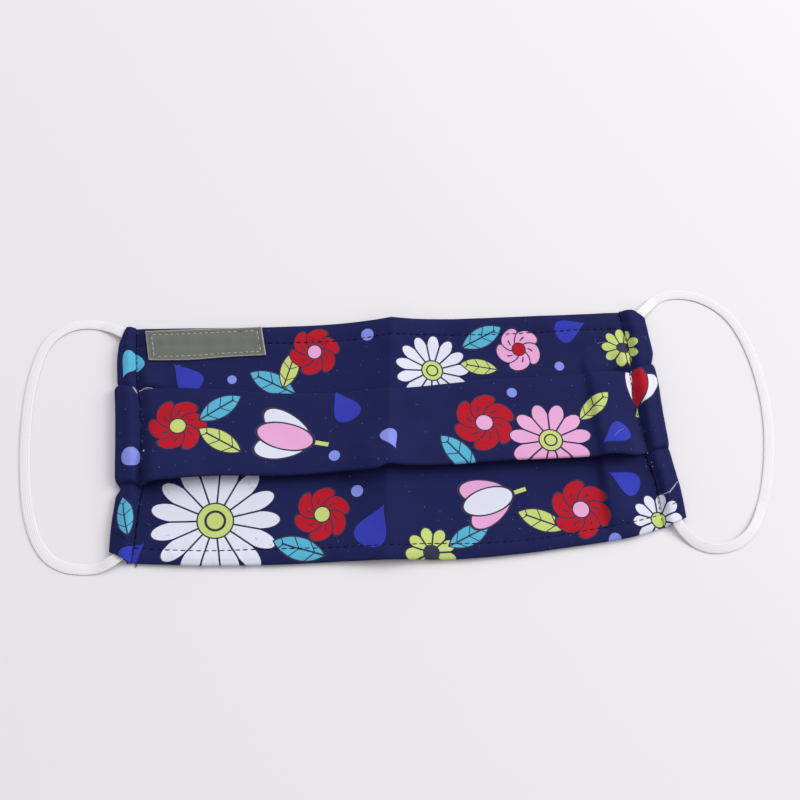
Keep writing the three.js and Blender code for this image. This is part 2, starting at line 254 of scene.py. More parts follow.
@dataclass
class ClothForm:
    """How the mask's cloth lies: its edges, folds, crease and seams, all in millimetres."""

    width: float = 191
    height: float = 88.6
    wall: float = 0.7
    top_panel: float = 25.6
    middle_panel: float = 31.5
    pleat_depth: float = 10.5
    top_hem: float = 7.4
    bottom_hem: float = 5.2
    edge_dip: float = 1.2
    edge_bow: float = 9.2
    fold_sway: float = 2.5
    pleat_opening: float = 2.2
    crease_height: float = 3.4
    crease_reach: float = 25
    crease_place: float = -3.2
    crease_lean: float = 4.2
    casing_width: float = 8
    casing_sway: float = 1.6
    stitch_sway: float = 2.4
    top_margin: float = 0.6
    bottom_margin: float = 0.5
    valley_place: float = 67.4
    valley_height: float = 2.15
    slack: float = 0.22
    right_pucker: float = 0.35
    left_pucker: float = 0.3
    ripple: float = 0.07

    @property
    def half_height(self) -> float:
        """Return half of the cloth's height."""
        return self.height / 2

    @property
    def seam_x(self) -> float:
        """Return the straight place of a side's stitch line."""
        return self.width / 2 - self.casing_width

    def edge(self, name: str, x: Number) -> Number:
        """Give the place of one of the cloth's four edges across the mask.

        Args:
            name: top, upper, lower or bottom.
            x: Place across the mask.

        Returns:
            The place up the mask.
        """
        value = COLUMNS.at(name, np.asarray(x) / (self.width / 2))
        upper = self.half_height - self.top_panel
        if name == "top":
            return self.half_height - self.edge_dip * value
        if name == "upper":
            return upper + self.fold_sway * value
        if name == "lower":
            return upper - self.middle_panel + self.fold_sway * value
        return -self.half_height + self.edge_bow * (1 - value)

    def opening(self, x: Number) -> Number:
        """Return how far the lower fold stands open at a place across the mask."""
        return self.pleat_opening * COLUMNS.at("opening", np.asarray(x) / (self.width / 2))

    def crease_x(self, y: Number) -> Number:
        """Return where the crease of the folded mask runs."""
        return self.crease_place + self.crease_lean * np.asarray(y) / self.half_height

    def stitch_x(self, side: Side, along: Number) -> Number:
        """Return how far out a side's stitch line runs at a share of its length."""
        return self.seam_x + self.stitch_sway * LOBES[side].at("stitch", along)

    def along(self, side: Side, y: Number) -> Number:
        """Return the share of a seam's length at a place up the mask."""
        x = side.value * self.seam_x
        low, high = self.edge("bottom", x), self.edge("top", x)
        return (np.asarray(y) - low) / (high - low)

    def lift(self, x: Number, y: Number) -> Number:
        """Give the height that creases and slack lift the whole stack of cloth by.

        Args:
            x: Place across the mask.
            y: Place up the mask.

        Returns:
            The height over a flat cloth.
        """
        x, y = np.asarray(x, float), np.asarray(y, float)
        away = np.abs(x - self.crease_x(y)) / self.crease_reach
        crease = self.crease_height * np.clip(1 - away, 0, 1) ** 2 * (1 - 0.45 * ease((-28 - y) / 13))
        beyond = x - self.valley_place
        bank = self.valley_height * ease(beyond / 2.8) * ease((21 - beyond) / 15)
        bank = bank * ease((42 + y) / 12) * ease((34 - y) / 24)
        slack = self.slack * (np.sin(x / 13.0 + 0.6) * np.sin(y / 11.0 + 0.3) + 1)
        fade = ease((self.seam_x - np.abs(x)) / 16)
        right = self.right_pucker * np.sin((x - 60) / 2.1 + 0.35 * (y - 20))
        right = right * bell(x - 79, 5.0) * bell(y - 21, 7.0)
        left = self.left_pucker * np.sin((x + 60) / 2.4 - 0.3 * (y - 18))
        left = left * bell(x + 80, 4.5) * bell(y - 20, 5.5)
        ripple = self.ripple * np.sin(x / 2.9 + 1.7 * np.sin(y / 6)) * np.sin(y / 3.3 + 1.1 * np.sin(x / 7))
        return crease + (bank + slack + ripple + self.ripple) * fade + right + left

    def seam_squeeze(self, from_seam: Number) -> Number:
        """Return the share of its thickness that the stack keeps near a side's stitches."""
        return 1 - 0.5 * bell(from_seam, 2.4)

    def cloth_v(self, layer: Layer, x: Number, y: Number) -> Number:
        """Return how far down the flat cloth a place on a layer is from the upper edge."""
        top = self.edge("top", x)
        hidden = {Layer.TOP: 0, Layer.MIDDLE: 2, Layer.LOWER: 4}[layer] * self.pleat_depth
        return top - np.asarray(y) + hidden


def new_mesh(name: str, corners: np.ndarray, faces: Sequence[Sequence[int]]) -> bpy.types.Object:
    """Make an object from corners in millimetres.

    Args:
        name: The object's name.
        corners: One row of three numbers for each corner.
        faces: The corner numbers of each face.

    Returns:
        The object, smooth shaded and linked to the scene.
    """
    mesh = bpy.data.meshes.new(name)
    mesh.from_pydata((np.asarray(corners) * MM).tolist(), [], [list(map(int, f)) for f in faces])
    mesh.polygons.foreach_set("use_smooth", [True] * len(mesh.polygons))
    mesh.update()
    piece = bpy.data.objects.new(name, mesh)
    bpy.context.scene.collection.objects.link(piece)
    return piece


def grid_faces(rows: int, columns: int) -> list[tuple[int, int, int, int]]:
    """List the faces of a grid of corners that is kept row by row.

    Args:
        rows: Corners down.
        columns: Corners across.

    Returns:
        The faces, wound so that they look along rows times columns.
    """
    faces = []
    for row in range(rows - 1):
        for column in range(columns - 1):
            first = row * columns + column
            faces.append((first, first + columns, first + columns + 1, first + 1))
    return faces


def set_uv(piece: bpy.types.Object, name: str, places: np.ndarray) -> None:
    """Give a piece a map that holds a place on the flat cloth for each corner.

    Args:
        piece: The piece.
        name: The map's name.
        places: One row of two numbers for each corner of the mesh.
    """
    mesh = piece.data
    layer = mesh.uv_layers.new(name=name)
    index = np.empty(len(mesh.loops), int)
    mesh.loops.foreach_get("vertex_index", index)
    layer.data.foreach_set("uv", np.asarray(places, float)[index].ravel())


def way_along(points: np.ndarray) -> np.ndarray:
    """Return the distance along a polyline at each of its points."""
    return np.concatenate([[0], np.cumsum(np.linalg.norm(np.diff(points, axis=0), axis=1))])


def select_only(piece: bpy.types.Object) -> None:
    """Select one piece and make it the active one."""
    bpy.ops.object.select_all(action="DESELECT")
    piece.select_set(True)
    bpy.context.view_layer.objects.active = piece


def thicken(piece: bpy.types.Object, wall: float) -> None:
    """Give a sheet its wall, evenly to both sides.

    Args:
        piece: The sheet.
        wall: Its thickness in millimetres.
    """
    select_only(piece)
    solid = piece.modifiers.new("wall", "SOLIDIFY")
    solid.thickness = wall * MM
    solid.offset = 0
    solid.use_even_offset = False
    solid.use_rim = True
    solid.material_offset = 10
    bpy.ops.object.modifier_apply(modifier=solid.name)


def operation(name: str, turned: bool = False) -> Callable[..., "Socket"]:
    """Make a method that adds one Math node.

    Args:
        name: The node's operation.
        turned: Whether the other value comes first.

    Returns:
        The method.
    """
    def method(self: "Socket", *others: "Term") -> "Socket":
        """Return the result of the operation."""
        terms = (*others, self) if turned else (self, *others)
        return self.shader.node("ShaderNodeMath", {"operation": name}, dict(enumerate(terms)))
    return method


class Socket:
    """A shader value that can be used in ordinary expressions."""

    def __init__(self, shader: "Shader", socket: bpy.types.NodeSocket) -> None:
        """Keep the material and the node's output."""
        self.shader = shader
        self.socket = socket

    __add__ = __radd__ = operation("ADD")
    __sub__ = operation("SUBTRACT")
    __rsub__ = operation("SUBTRACT", turned=True)
    __mul__ = __rmul__ = operation("MULTIPLY")
    __pow__ = operation("POWER")
    __lt__ = operation("LESS_THAN")
    __gt__ = operation("GREATER_THAN")
    __abs__ = operation("ABSOLUTE")
    larger = operation("MAXIMUM")
    smaller = operation("MINIMUM")
    cosine = operation("COSINE")
    sine = operation("SINE")


Term = Union[Socket, float, int, tuple]


class Shader:
    """A node material whose every node comes from one method."""

    def __init__(self, name: str) -> None:
        """Start an empty material with a principled shader."""
        self.material = bpy.data.materials.new(name)
        self.material.use_nodes = True
        self.tree = self.material.node_tree
        self.tree.nodes.clear()
        output = self.tree.nodes.new("ShaderNodeOutputMaterial")
        self.surface = self.tree.nodes.new("ShaderNodeBsdfPrincipled")
        self.tree.links.new(self.surface.outputs[0], output.inputs["Surface"])

    def node(
        self, kind: str, settings: dict[str, object], values: dict[Union[int, str], Term],
        output: Union[int, str] = 0,
    ) -> Socket:
        """Add a node.

        Args:
            kind: The node's type.
            settings: What is set on the node itself, before its sockets.
            values: A value or a link for each named or numbered socket.
            output: The output that is wanted.

        Returns:
            That output.
        """
        node = self.tree.nodes.new(kind)
        for name, value in settings.items():
            setattr(node, name, value)
        self.fill(node, values)
        return Socket(self, node.outputs[output])

    def fill(self, node: bpy.types.Node, values: dict[Union[int, str], Term]) -> None:
        """Set or link a node's named or numbered sockets."""
        for key, value in values.items():
            if isinstance(value, Socket):
                self.tree.links.new(value.socket, node.inputs[key])
            else:
                node.inputs[key].default_value = value

    def uv(self, name: str) -> Socket:
        """Return the place on a named map."""
        return self.node("ShaderNodeUVMap", {"uv_map": name}, {})

    def own_place(self) -> Socket:
        """Return the place in the object's own axes."""
        return self.node("ShaderNodeTexCoord", {}, {}, "Object")

    def parts(self, vector: Socket) -> tuple[Socket, ...]:
        """Return the first two numbers of a vector."""
        return tuple(self.node("ShaderNodeSeparateXYZ", {}, {0: vector}, axis) for axis in "XY")

    def length(self, vector: Socket) -> Socket:
        """Return a vector's length."""
        return self.node("ShaderNodeVectorMath", {"operation": "LENGTH"}, {0: vector}, "Value")

    def waves(self, value: Socket, pitch: float) -> Socket:
        """Return a sine wave along a value."""
        return (value * (2 * math.pi / pitch)).sine()

    def fade(self, value: Socket, start: float, end: float, falling: bool = True) -> Socket:
        """Return a share that falls, or rises, softly from a start to an end."""
        high, low = (1.0, 0.0) if falling else (0.0, 1.0)
        values = {"Value": value, "From Min": start, "From Max": end, "To Min": high, "To Max": low}
        return self.node("ShaderNodeMapRange", {"clamp": True, "interpolation_type": "SMOOTHSTEP"}, values)


    def local(self, vector: Socket, place: Sequence[float], turn: float, size: Sequence[float]) -> Socket:
        """Give the place inside a motif.

        Args:
            vector: The place on the cloth.
            place: The motif's own place.
            turn: Its turn in degrees.
            size: Its size each way, which becomes 1.

        Returns:
            The place, centred, turned back and scaled.
        """
        values = {
            "Vector": vector,
            "Location": (place[0], place[1], 0),
            "Rotation": (0, 0, math.radians(turn)),
            "Scale": (size[0], size[1], 1),
        }
        return self.node("ShaderNodeMapping", {"vector_type": "TEXTURE"}, values)

    def mix(self, first: Term, second: Term, share: Term) -> Socket:
        """Return two colours mixed by the second one's share."""
        def full(colour: Term) -> Term:
            """Return a colour with its fourth number."""
            return colour if isinstance(colour, Socket) else (*colour, 1)
        values = {"Factor": share, 6: full(first), 7: full(second)}
        return self.node("ShaderNodeMix", {"data_type": "RGBA"}, values, 2)

    def noise(self, vector: Socket, scale: float, detail: float = 2.0, rough: float = 0.5) -> Socket:
        """Return a soft random value between 0 and 1."""
        values = {"Vector": vector, "Scale": scale, "Detail": detail, "Roughness": rough}
        return self.node("ShaderNodeTexNoise", {}, values)

    def bump(self, height: Socket, strength: float, distance: float) -> Socket:
        """Return a normal that follows a height."""
        values = {"Height": height, "Strength": strength, "Distance": distance * MM}
        return self.node("ShaderNodeBump", {}, values)

    def finish(self, values: dict[str, Term]) -> bpy.types.Material:
        """Set the principled shader's sockets and return the material."""
        self.fill(self.surface, values)
        return self.material


INK = linear(52, 51, 74)
WHITE = linear(219, 222, 237)
PINK = linear(226, 166, 209)
RED = linear(180, 18, 35)
LIME = linear(194, 210, 118)
TURQUOISE = linear(84, 176, 206)
ROYAL = linear(49, 59, 172)
PERIWINKLE = linear(129, 142, 225)
NAVY = (linear(19, 24, 72), linear(27, 32, 82))
BACK = (linear(44, 48, 96), linear(58, 62, 110))
# Colour mixed in faintly on the weave's crests and where the fuzz is thick.
CREST_PALE = linear(120, 122, 160)
DUST = linear(176, 178, 196)
TAPE = (linear(98, 101, 97), linear(108, 111, 106))
TAPE_RIM = linear(103, 106, 96)
# Painted shade along the groove inside the label's rim.
TAPE_GROOVE_SHADE = linear(78, 80, 76)
# Pale cut edge of the label: fraying fibres and a painted highlight.
TAPE_FRAY_AND_HIGHLIGHT = linear(196, 192, 176)
TAPE_LIT = linear(140, 142, 134)
ELASTIC = (linear(230, 229, 231), linear(241, 240, 242))
DARK_THREAD = linear(11, 12, 24)
FLOOR = (linear(228, 226, 229), linear(231, 229, 232))


class Shape(Enum):
    """The kinds of printed motif."""

    DAISY = "daisy"
    SWIRL = "swirl"
    LEAF = "leaf"
    DROP = "drop"
    DOT = "dot"
    TULIP = "tulip"


@dataclass(frozen=True)
class Motif:
    """One printed motif: what it is, where it lies as seen from the front, and its colours."""

    shape: Shape
    layer: Layer
    x: float
    y: float
    size: float
    turn: float
    colour: Colour
    heart: Colour = LIME
    petals: int = 12

    def near_seam(self, side: Side, form: ClothForm) -> bool:
        """Return whether the motif reaches a side's casing."""
        return side.value * self.x + self.size > form.seam_x - form.stitch_sway


# The print, motif by motif: kind, place as seen from the front, size, turn in degrees and colours.
CHART = {
    Layer.TOP: (
        ("drop", -72, 26, 6.5, 40, ROYAL),
        ("leaf", -42, 22, 8.5, 62, TURQUOISE),
        ("leaf", -36, 27, 7.0, -20, LIME),
        ("swirl", -27, 33, 8.6, 10, RED, PINK, 6),
        ("daisy", 14, 24, 13.0, 0, WHITE, LIME, 13),
        ("leaf", 33, 36, 8.0, -64, TURQUOISE),
        ("leaf", 31, 25, 6.5, 78, LIME),
        ("swirl", 46, 31, 8.0, 30, PINK, RED, 5),
        ("drop", 66, 38, 6.0, -70, ROYAL),
        ("dot", -8, 38, 2.2, 0, PERIWINKLE),
        ("dot", 60, 24, 1.7, 0, PERIWINKLE),
        ("daisy", 84, 30, 7.5, 12, LIME, INK, 9),
        ("dot", -56, 24, 1.6, 0, PERIWINKLE),
        ("drop", -91, 30, 5.5, 150, TURQUOISE),
    ),
    Layer.MIDDLE: (
        ("swirl", -74, 6, 9.5, 0, RED, LIME, 6),
        ("leaf", -60, 12, 8.0, -58, TURQUOISE),
        ("leaf", -60, 0, 8.0, 58, LIME),
        ("tulip", -37, 0, 11.0, 74, WHITE, PINK),
        ("drop", -18, 11, 6.5, 25, ROYAL),
        ("dot", -22, -8, 1.9, 0, PERIWINKLE),
        ("drop", -3, -4, 4.0, 200, PERIWINKLE),
        ("leaf", 20, -9, 8.5, 40, TURQUOISE),
        ("swirl", 30, 2, 10.5, 20, RED, PINK, 6),
        ("daisy", 52, -6, 14.0, 5, PINK, LIME, 11),
        ("leaf", 69, 6, 7.0, -50, LIME),
        ("drop", 74, -6, 5.5, 120, ROYAL),
        ("dot", 41, 13, 1.8, 0, PERIWINKLE),
        ("tulip", 88, 12, 8.5, -20, WHITE, RED),
        ("dot", -91, -4, 3.2, 0, PERIWINKLE),
    ),
    Layer.LOWER: (
        ("daisy", -62, -27, 21.0, 0, WHITE, LIME, 15),
        ("leaf", -35, -38, 8.5, 70, TURQUOISE),
        ("swirl", -27, -27, 9.0, 15, RED, LIME, 6),
        ("drop", -10, -32, 7.5, -30, ROYAL),
        ("dot", -15, -20, 2.0, 0, PERIWINKLE),
        ("daisy", 8, -42, 8.5, 20, LIME, INK, 9),
        ("leaf", 21, -37, 7.5, -66, TURQUOISE),
        ("tulip", 30, -25, 10.0, 105, PINK, WHITE),
        ("leaf", 46, -33, 8.0, 66, LIME),
        ("swirl", 60, -30, 10.0, 35, RED, PINK, 6),
        ("drop", 76, -21, 6.0, 60, ROYAL),
        ("daisy", 86, -35, 9.0, 0, WHITE, LIME, 10),
        ("dot", 70, -41, 2.2, 0, PERIWINKLE),
        ("leaf", -92, -24, 6.5, 15, TURQUOISE),
        ("drop", -88, -36, 4.5, -50, ROYAL),
    ),
}


@dataclass(frozen=True)
class PrintDesign:
    """The floral print, on a navy ground."""

    line: float = 0.055
    curl: float = 1.1
    petal_round: float = 0.55
    daisy_notch: float = 0.45
    swirl_notch: float = 0.3
    heart: float = 0.27
    heart_ring: float = 0.15
    ringed_from: float = 12
    mark_ends: tuple[float, float] = (0.4, 0.62)
    leaf_breadth: float = 0.42
    rib: float = 0.035
    stem: float = 0.07
    motifs: tuple[Motif, ...] = tuple(
        Motif(Shape(kind), layer, *rest) for layer, rows in CHART.items() for kind, *rest in rows
    )


@dataclass(frozen=True)
class PrintedCloth:
    """Fine plain-woven cotton with the print on its face. The form says where each motif is on it."""

    form: ClothForm
    design: PrintDesign
    warp: float = 0.38
    weft: float = 0.42
    bump_strength: float = 0.35
    bump_depth: float = 0.12
    lint_size: float = 0.05

    def flower(self, shader: Shader, colour: Socket, motif: Motif, place: Socket) -> Socket:
        """Print a flower of many petals round a disc.

        Args:
            shader: The material.
            colour: The colour so far.
            motif: The flower.
            place: The place inside it.

        Returns:
            The colour with the flower on it.
        """
        radius = shader.length(place)
        across, up = shader.parts(place)
        angle = shader.node("ShaderNodeMath", {"operation": "ARCTAN2"}, {0: up, 1: across})
        design = self.design
        if motif.shape is Shape.SWIRL:
            angle = angle + radius * design.curl
        wave = abs((angle * (motif.petals / 2)).cosine())
        deep = design.daisy_notch if motif.shape is Shape.DAISY else design.swirl_notch
        reach = wave ** design.petal_round * deep + (1 - deep)
        line = design.line * min(1.0, 9 / motif.size)
        outline = radius < reach + line
        petals = (radius < reach) * (wave * radius > line * motif.petals * 0.3)
        colour = shader.mix(colour, INK, outline)
        colour = shader.mix(colour, motif.colour, petals)
        colour = shader.mix(colour, INK, radius < design.heart + line)
        colour = shader.mix(colour, motif.heart, radius < design.heart)
        if motif.shape is Shape.SWIRL:
            start, end = design.mark_ends
            return shader.mix(colour, INK, (radius > start) * (radius < end) * (wave > 0.985))
        ring = (abs(radius - design.heart_ring) < 0.02) * (motif.size > design.ringed_from)
        return shader.mix(colour, INK, ring)

    def leaf(self, shader: Shader, colour: Socket, motif: Motif, place: Socket) -> Socket:
        """Print a pointed leaf with its rib, or a plain drop.

        Args:
            shader: The material.
            colour: The colour so far.
            motif: The leaf or drop.
            place: The place inside it.

        Returns:
            The colour with the leaf on it.
        """
        across, up = shader.parts(place)
        if motif.shape is Shape.DROP:
            body = (1 - up) * (1 - up) * (1 - up * up) * 0.3
            return shader.mix(colour, motif.colour, across * across < body)
        broad = self.design.leaf_breadth
        arc = (1 + broad * broad) / (2 * broad)
        folded = shader.node("ShaderNodeVectorMath", {"operation": "ABSOLUTE"}, {0: place})
        shift = (arc - broad, 0, 0)
        moved = shader.node("ShaderNodeVectorMath", {"operation": "ADD"}, {0: folded, 1: shift})
        edge = shader.length(moved)
        colour = shader.mix(colour, INK, edge < arc + self.design.line)
        colour = shader.mix(colour, motif.colour, edge < arc)
        rib = (abs(across) < self.design.rib) * (up < 0.7)
        veins = ((up * 3.2 - abs(across) * 2.4) * math.pi).cosine() > 0.965
        return shader.mix(colour, INK, rib.larger(veins) * (edge < arc))

    def tulip(self, shader: Shader, colour: Socket, motif: Motif, place: Socket) -> Socket:
        """Print a closed flower of three petals on a short stem.

        Args:
            shader: The material.
            colour: The colour so far.
            motif: The flower.
            place: The place inside it.

        Returns:
            The colour with the flower on it.
        """
        line = self.design.line * 1.3
        across, up = shader.parts(place)
        stem = (abs(across) < self.design.stem) * (up < 0) * (up > -1.25)
        colour = shader.mix(colour, LIME, stem)
        for turn, lean, tint in ((26, -0.3, motif.colour), (-26, 0.3, motif.colour), (0, 0.0, motif.heart)):
            reach = shader.length(shader.local(place, (lean, 0.12), turn, (0.42, 0.86)))
            colour = shader.mix(colour, INK, reach < 1 + line * 1.6)
            colour = shader.mix(colour, tint, reach < 1)
        return colour

    def printed(self, shader: Shader, cloth: Socket, ground: Socket, motifs: Sequence[Motif]) -> Socket:
        """Print motifs over the navy ground.

        Args:
            shader: The material.
            cloth: The place on the flat cloth, in millimetres.
            ground: The dye's unevenness.
            motifs: The motifs that show there.

        Returns:
            The cloth's colour.
        """
        colour = shader.mix(*NAVY, ground)
        printers = {Shape.TULIP: self.tulip, Shape.LEAF: self.leaf, Shape.DROP: self.leaf}
        for motif in motifs:
            v = float(self.form.cloth_v(motif.layer, motif.x, motif.y))
            place = shader.local(cloth, (motif.x, -v), motif.turn, (motif.size, motif.size))
            if motif.shape is Shape.DOT:
                colour = shader.mix(colour, motif.colour, shader.length(place) < 1)
            else:
                colour = printers.get(motif.shape, self.flower)(shader, colour, motif, place)
        return colour

    def woven(self, shader: Shader) -> tuple[Socket, Socket, Socket, Socket]:
        """Return the place on the flat cloth, its weave, its fuzz and its dye's unevenness."""
        cloth = shader.uv("cloth")
        across, down = shader.parts(cloth)
        weave = shader.waves(across, self.warp) * shader.waves(down, self.weft)
        return cloth, weave, shader.noise(cloth, 1.6, 4.0, 0.7), shader.noise(cloth, 0.09, 3.0)

    def material(self, name: str, motifs: Sequence[Motif]) -> bpy.types.Material:
        """Make the material of one stretch of cloth.

        Args:
            name: The material's name.
            motifs: The motifs that show on it.

        Returns:
            The material.
        """
        shader = Shader(name)
        cloth, weave, fuzz, ground = self.woven(shader)
        colour = self.printed(shader, cloth, ground, motifs)
        slub = shader.noise(shader.local(cloth, (0, 0), 0, (6.0, 0.5)), 1.0, 2.0)
        cells = shader.node(
            "ShaderNodeTexVoronoi", {"feature": "F1"}, {"Vector": cloth, "Scale": 0.42, "Randomness": 1.0},
            "Distance",
        )
        lint = (cells < self.lint_size) * (shader.noise(cloth, 0.31, 0.0) > 0.42)
        # The colour turns faintly paler on the weave's crests and where the fuzz is thick.
        paled = shader.mix(colour, CREST_PALE, (weave * 0.5 + 0.5) * 0.016 + fuzz * 0.014)
        height = weave * 0.35 + slub * 0.5 + fuzz * 0.8
        return shader.finish({
            "Base Color": shader.mix(paled, DUST, lint * 0.5),
            "Roughness": fuzz * 0.12 + 0.78,
            "Normal": shader.bump(height, self.bump_strength, self.bump_depth),
            "Sheen Weight": 0.04,
            "Sheen Roughness": 0.4,
            "Sheen Tint": (0.6, 0.65, 1.0, 1),
            "Specular IOR Level": 0.1,
        })

    def reverse(self) -> bpy.types.Material:
        """Return the material of the cloth's back, which has no print."""
        shader = Shader("cloth_reverse")
        _, weave, fuzz, ground = self.woven(shader)
        return shader.finish({
            "Base Color": shader.mix(*BACK, ground * 0.7 + fuzz * 0.3),
            "Roughness": fuzz * 0.1 + 0.82,
            "Normal": shader.bump(weave * 0.35 + fuzz, self.bump_strength, self.bump_depth),
            "Specular IOR Level": 0.25,
        })


@dataclass
class PleatedPanel:
    """The front cloth, folded into one box pleat and hemmed above and below."""

    form: ClothForm
    fold_radius: float = 0.45
    low: float = 0.65
    under: float = 1.55
    over: float = 3.3
    columns: int = 220
    hidden_steps: int = 5
    left_bank: float = 1.9
    right_bank: float = 3.0
    hem_puff: float = 0.32
    crown: float = 0.12
    groove: float = 0.28
    ripple: float = 0.09
    gather: float = 0.16
    stitch_pitch: float = 2.5

    @staticmethod
    def turn(y: Number, low: Number, high: Number, bulge: int, steps: int = 8) -> list[tuple]:
        """Give a half turn of the cloth from one height to another.

        Args:
            y: Where the turn starts and ends.
            low: Height at its start.
            high: Height at its end.
            bulge: 1 for a turn towards the upper edge, -1 for one towards the lower.
            steps: Steps round it.

        Returns:
            Places and heights of its stations.
        """
        angles = np.linspace(-np.pi / 2, np.pi / 2, steps + 1)
        middle, radius = (low + high) / 2, np.abs(high - low) / 2
        rise = np.sign(high - low)
        return [(y + bulge * radius * np.cos(a), middle + rise * radius * np.sin(a)) for a in angles]

    @staticmethod
    def run(
        start: Number, end: Number, steps: int, height: Callable[[Number, Number], Number],
    ) -> list[tuple]:
        """Return the stations between two places. Their height comes from their place and share."""
        shares = [step / steps for step in range(1, steps)]
        return [(start + (end - start) * s, height(start + (end - start) * s, s)) for s in shares]

    def stations(self, x: np.ndarray) -> tuple[np.ndarray, np.ndarray, np.ndarray, list[Optional[Layer]]]:
        """Give the cloth's way from raw edge to raw edge in every column.

        Args:
            x: Places of the columns across the mask.

        Returns:
            Place, height and distance along the cloth of each station in each column, and the layer
            that each station belongs to where it shows.
        """
        form, low, under = self.form, self.low, self.under
        top, bottom = form.edge("top", x), form.edge("bottom", x)
        upper, lower = form.edge("upper", x), form.edge("lower", x)
        opening, depth = form.opening(x), form.pleat_depth
        hem = form.wall / 2
        inset, over_hem = self.fold_radius + hem, hem + 2 * self.fold_radius

        def hem_height(gap: Number, width: float) -> Number:
            """Return the height of a panel over its hem, at a distance from the edge."""
            puff = self.hem_puff * np.sin(np.pi * np.clip(gap / width, 0, 1)) ** 0.8
            beyond = ease((gap - width) / 9)
            return (over_hem + puff) * (1 - beyond) + low * beyond

        left_bank = self.left_bank * bell(x + 83.8, 3.8)
        by_seam = left_bank + self.right_bank * bell(x - 85.0, 4.2) * ease((88.2 - x) / 2.6)
        front = 1.5 + 1.8 * bell(x - 86.0, 3.0)

        def top_height(y: Number, _: float) -> Number:
            """Return the height of the top panel, which banks up above the fold beside the seams."""
            bank = by_seam * ease((y - upper - 0.4) / front) * ease((upper + 14 - y) / 10)
            return hem_height(top - y, form.top_hem) + bank

        def lower_height(y: Number, _: float) -> Number:
            """Return the height of the lower panel."""
            return hem_height(y - bottom, form.bottom_hem)

        upper_low = under + 0.3
        upper_high = upper_low + 2 * self.fold_radius
        fold_high = self.over + opening
        fold_low = fold_high - 2 * self.fold_radius

        def middle_height(y: Number, share: float) -> Number:
            """Return the height of the middle panel."""
            rise = ease((upper - y) / 6)
            start = upper_high + (self.over - upper_high) * rise
            return start + opening * ease((share - 0.35) / 0.6) + self.crown * np.sin(np.pi * share)

        def flat_height(_: Number, __: float) -> Number:
            """Return the height of a hem behind its panel."""
            return hem

        def rising_height(_: Number, share: float) -> Number:
            """Return the height of the hidden cloth that leads to the upper fold."""
            return under + (upper_low - under) * share

        def falling_height(_: Number, share: float) -> Number:
            """Return the height of the hidden cloth that leads back from the lower fold."""
            return fold_low + (under - fold_low) * ease(share)

        hidden = self.hidden_steps
        parts: list[tuple[list[tuple], Optional[Layer], bool]] = [
            ([(top - form.top_hem, hem)], None, False),
            (self.run(top - form.top_hem, top - inset, 6, flat_height), None, False),
            (self.turn(top - inset, hem, over_hem, 1), Layer.TOP, True),
            (self.run(top - inset, upper - 1, 36, top_height), Layer.TOP, False),
            (self.run(upper - 1, upper - depth, 5, top_height), Layer.TOP, False),
            (self.turn(upper - depth, low, under, -1, hidden), None, True),
            (self.run(upper - depth, upper - inset, 6, rising_height), None, False),
            (self.turn(upper - inset, upper_low, upper_high, 1), Layer.MIDDLE, True),
            (self.run(upper - inset, lower + inset, 44, middle_height), Layer.MIDDLE, False),
            (self.turn(lower + inset, fold_high, fold_low, -1), Layer.MIDDLE, True),
            (self.run(lower + inset, lower + depth, 8, falling_height), None, False),
            (self.turn(lower + depth, under, low, 1, hidden), None, True),
            (self.run(lower + depth, lower + 1, 5, lower_height), Layer.LOWER, False),
            (self.run(lower + 1, bottom + inset, 44, lower_height), Layer.LOWER, False),
            (self.turn(bottom + inset, over_hem, hem, -1), Layer.LOWER, True),
            (self.run(bottom + inset, bottom + form.bottom_hem, 5, flat_height), None, False),
            ([(bottom + form.bottom_hem, hem)], None, False),
        ]
        stations = [station for stretch, _, _ in parts for station in stretch]
        layers = [layer for stretch, layer, _ in parts for _ in stretch]
        starts = np.cumsum([0] + [len(stretch) for stretch, _, _ in parts])
        turns = [start + len(stretch) // 2 for start, (stretch, _, turned) in zip(starts, parts) if turned]
        marks = [0, *turns, len(stations) - 1]
        y, z = (np.array([station[axis] + 0 * x for station in stations]) for axis in (0, 1))
        step = np.hypot(np.diff(y, axis=0), np.diff(z, axis=0))
        way = np.vstack([np.zeros(len(x)), np.cumsum(step, axis=0)])
        flat = [
            -form.top_hem + 0 * x, 0 * x, top - upper + depth, top - upper + 2 * depth,
            top - lower + 2 * depth, top - lower + 3 * depth, top - bottom + 4 * depth,
            top - bottom + 4 * depth + form.bottom_hem,
        ]
        v = np.empty_like(way)
        for column in range(len(x)):
            v[:, column] = np.interp(way[:, column], way[marks, column], [f[column] for f in flat])
        return y, z, v, layers

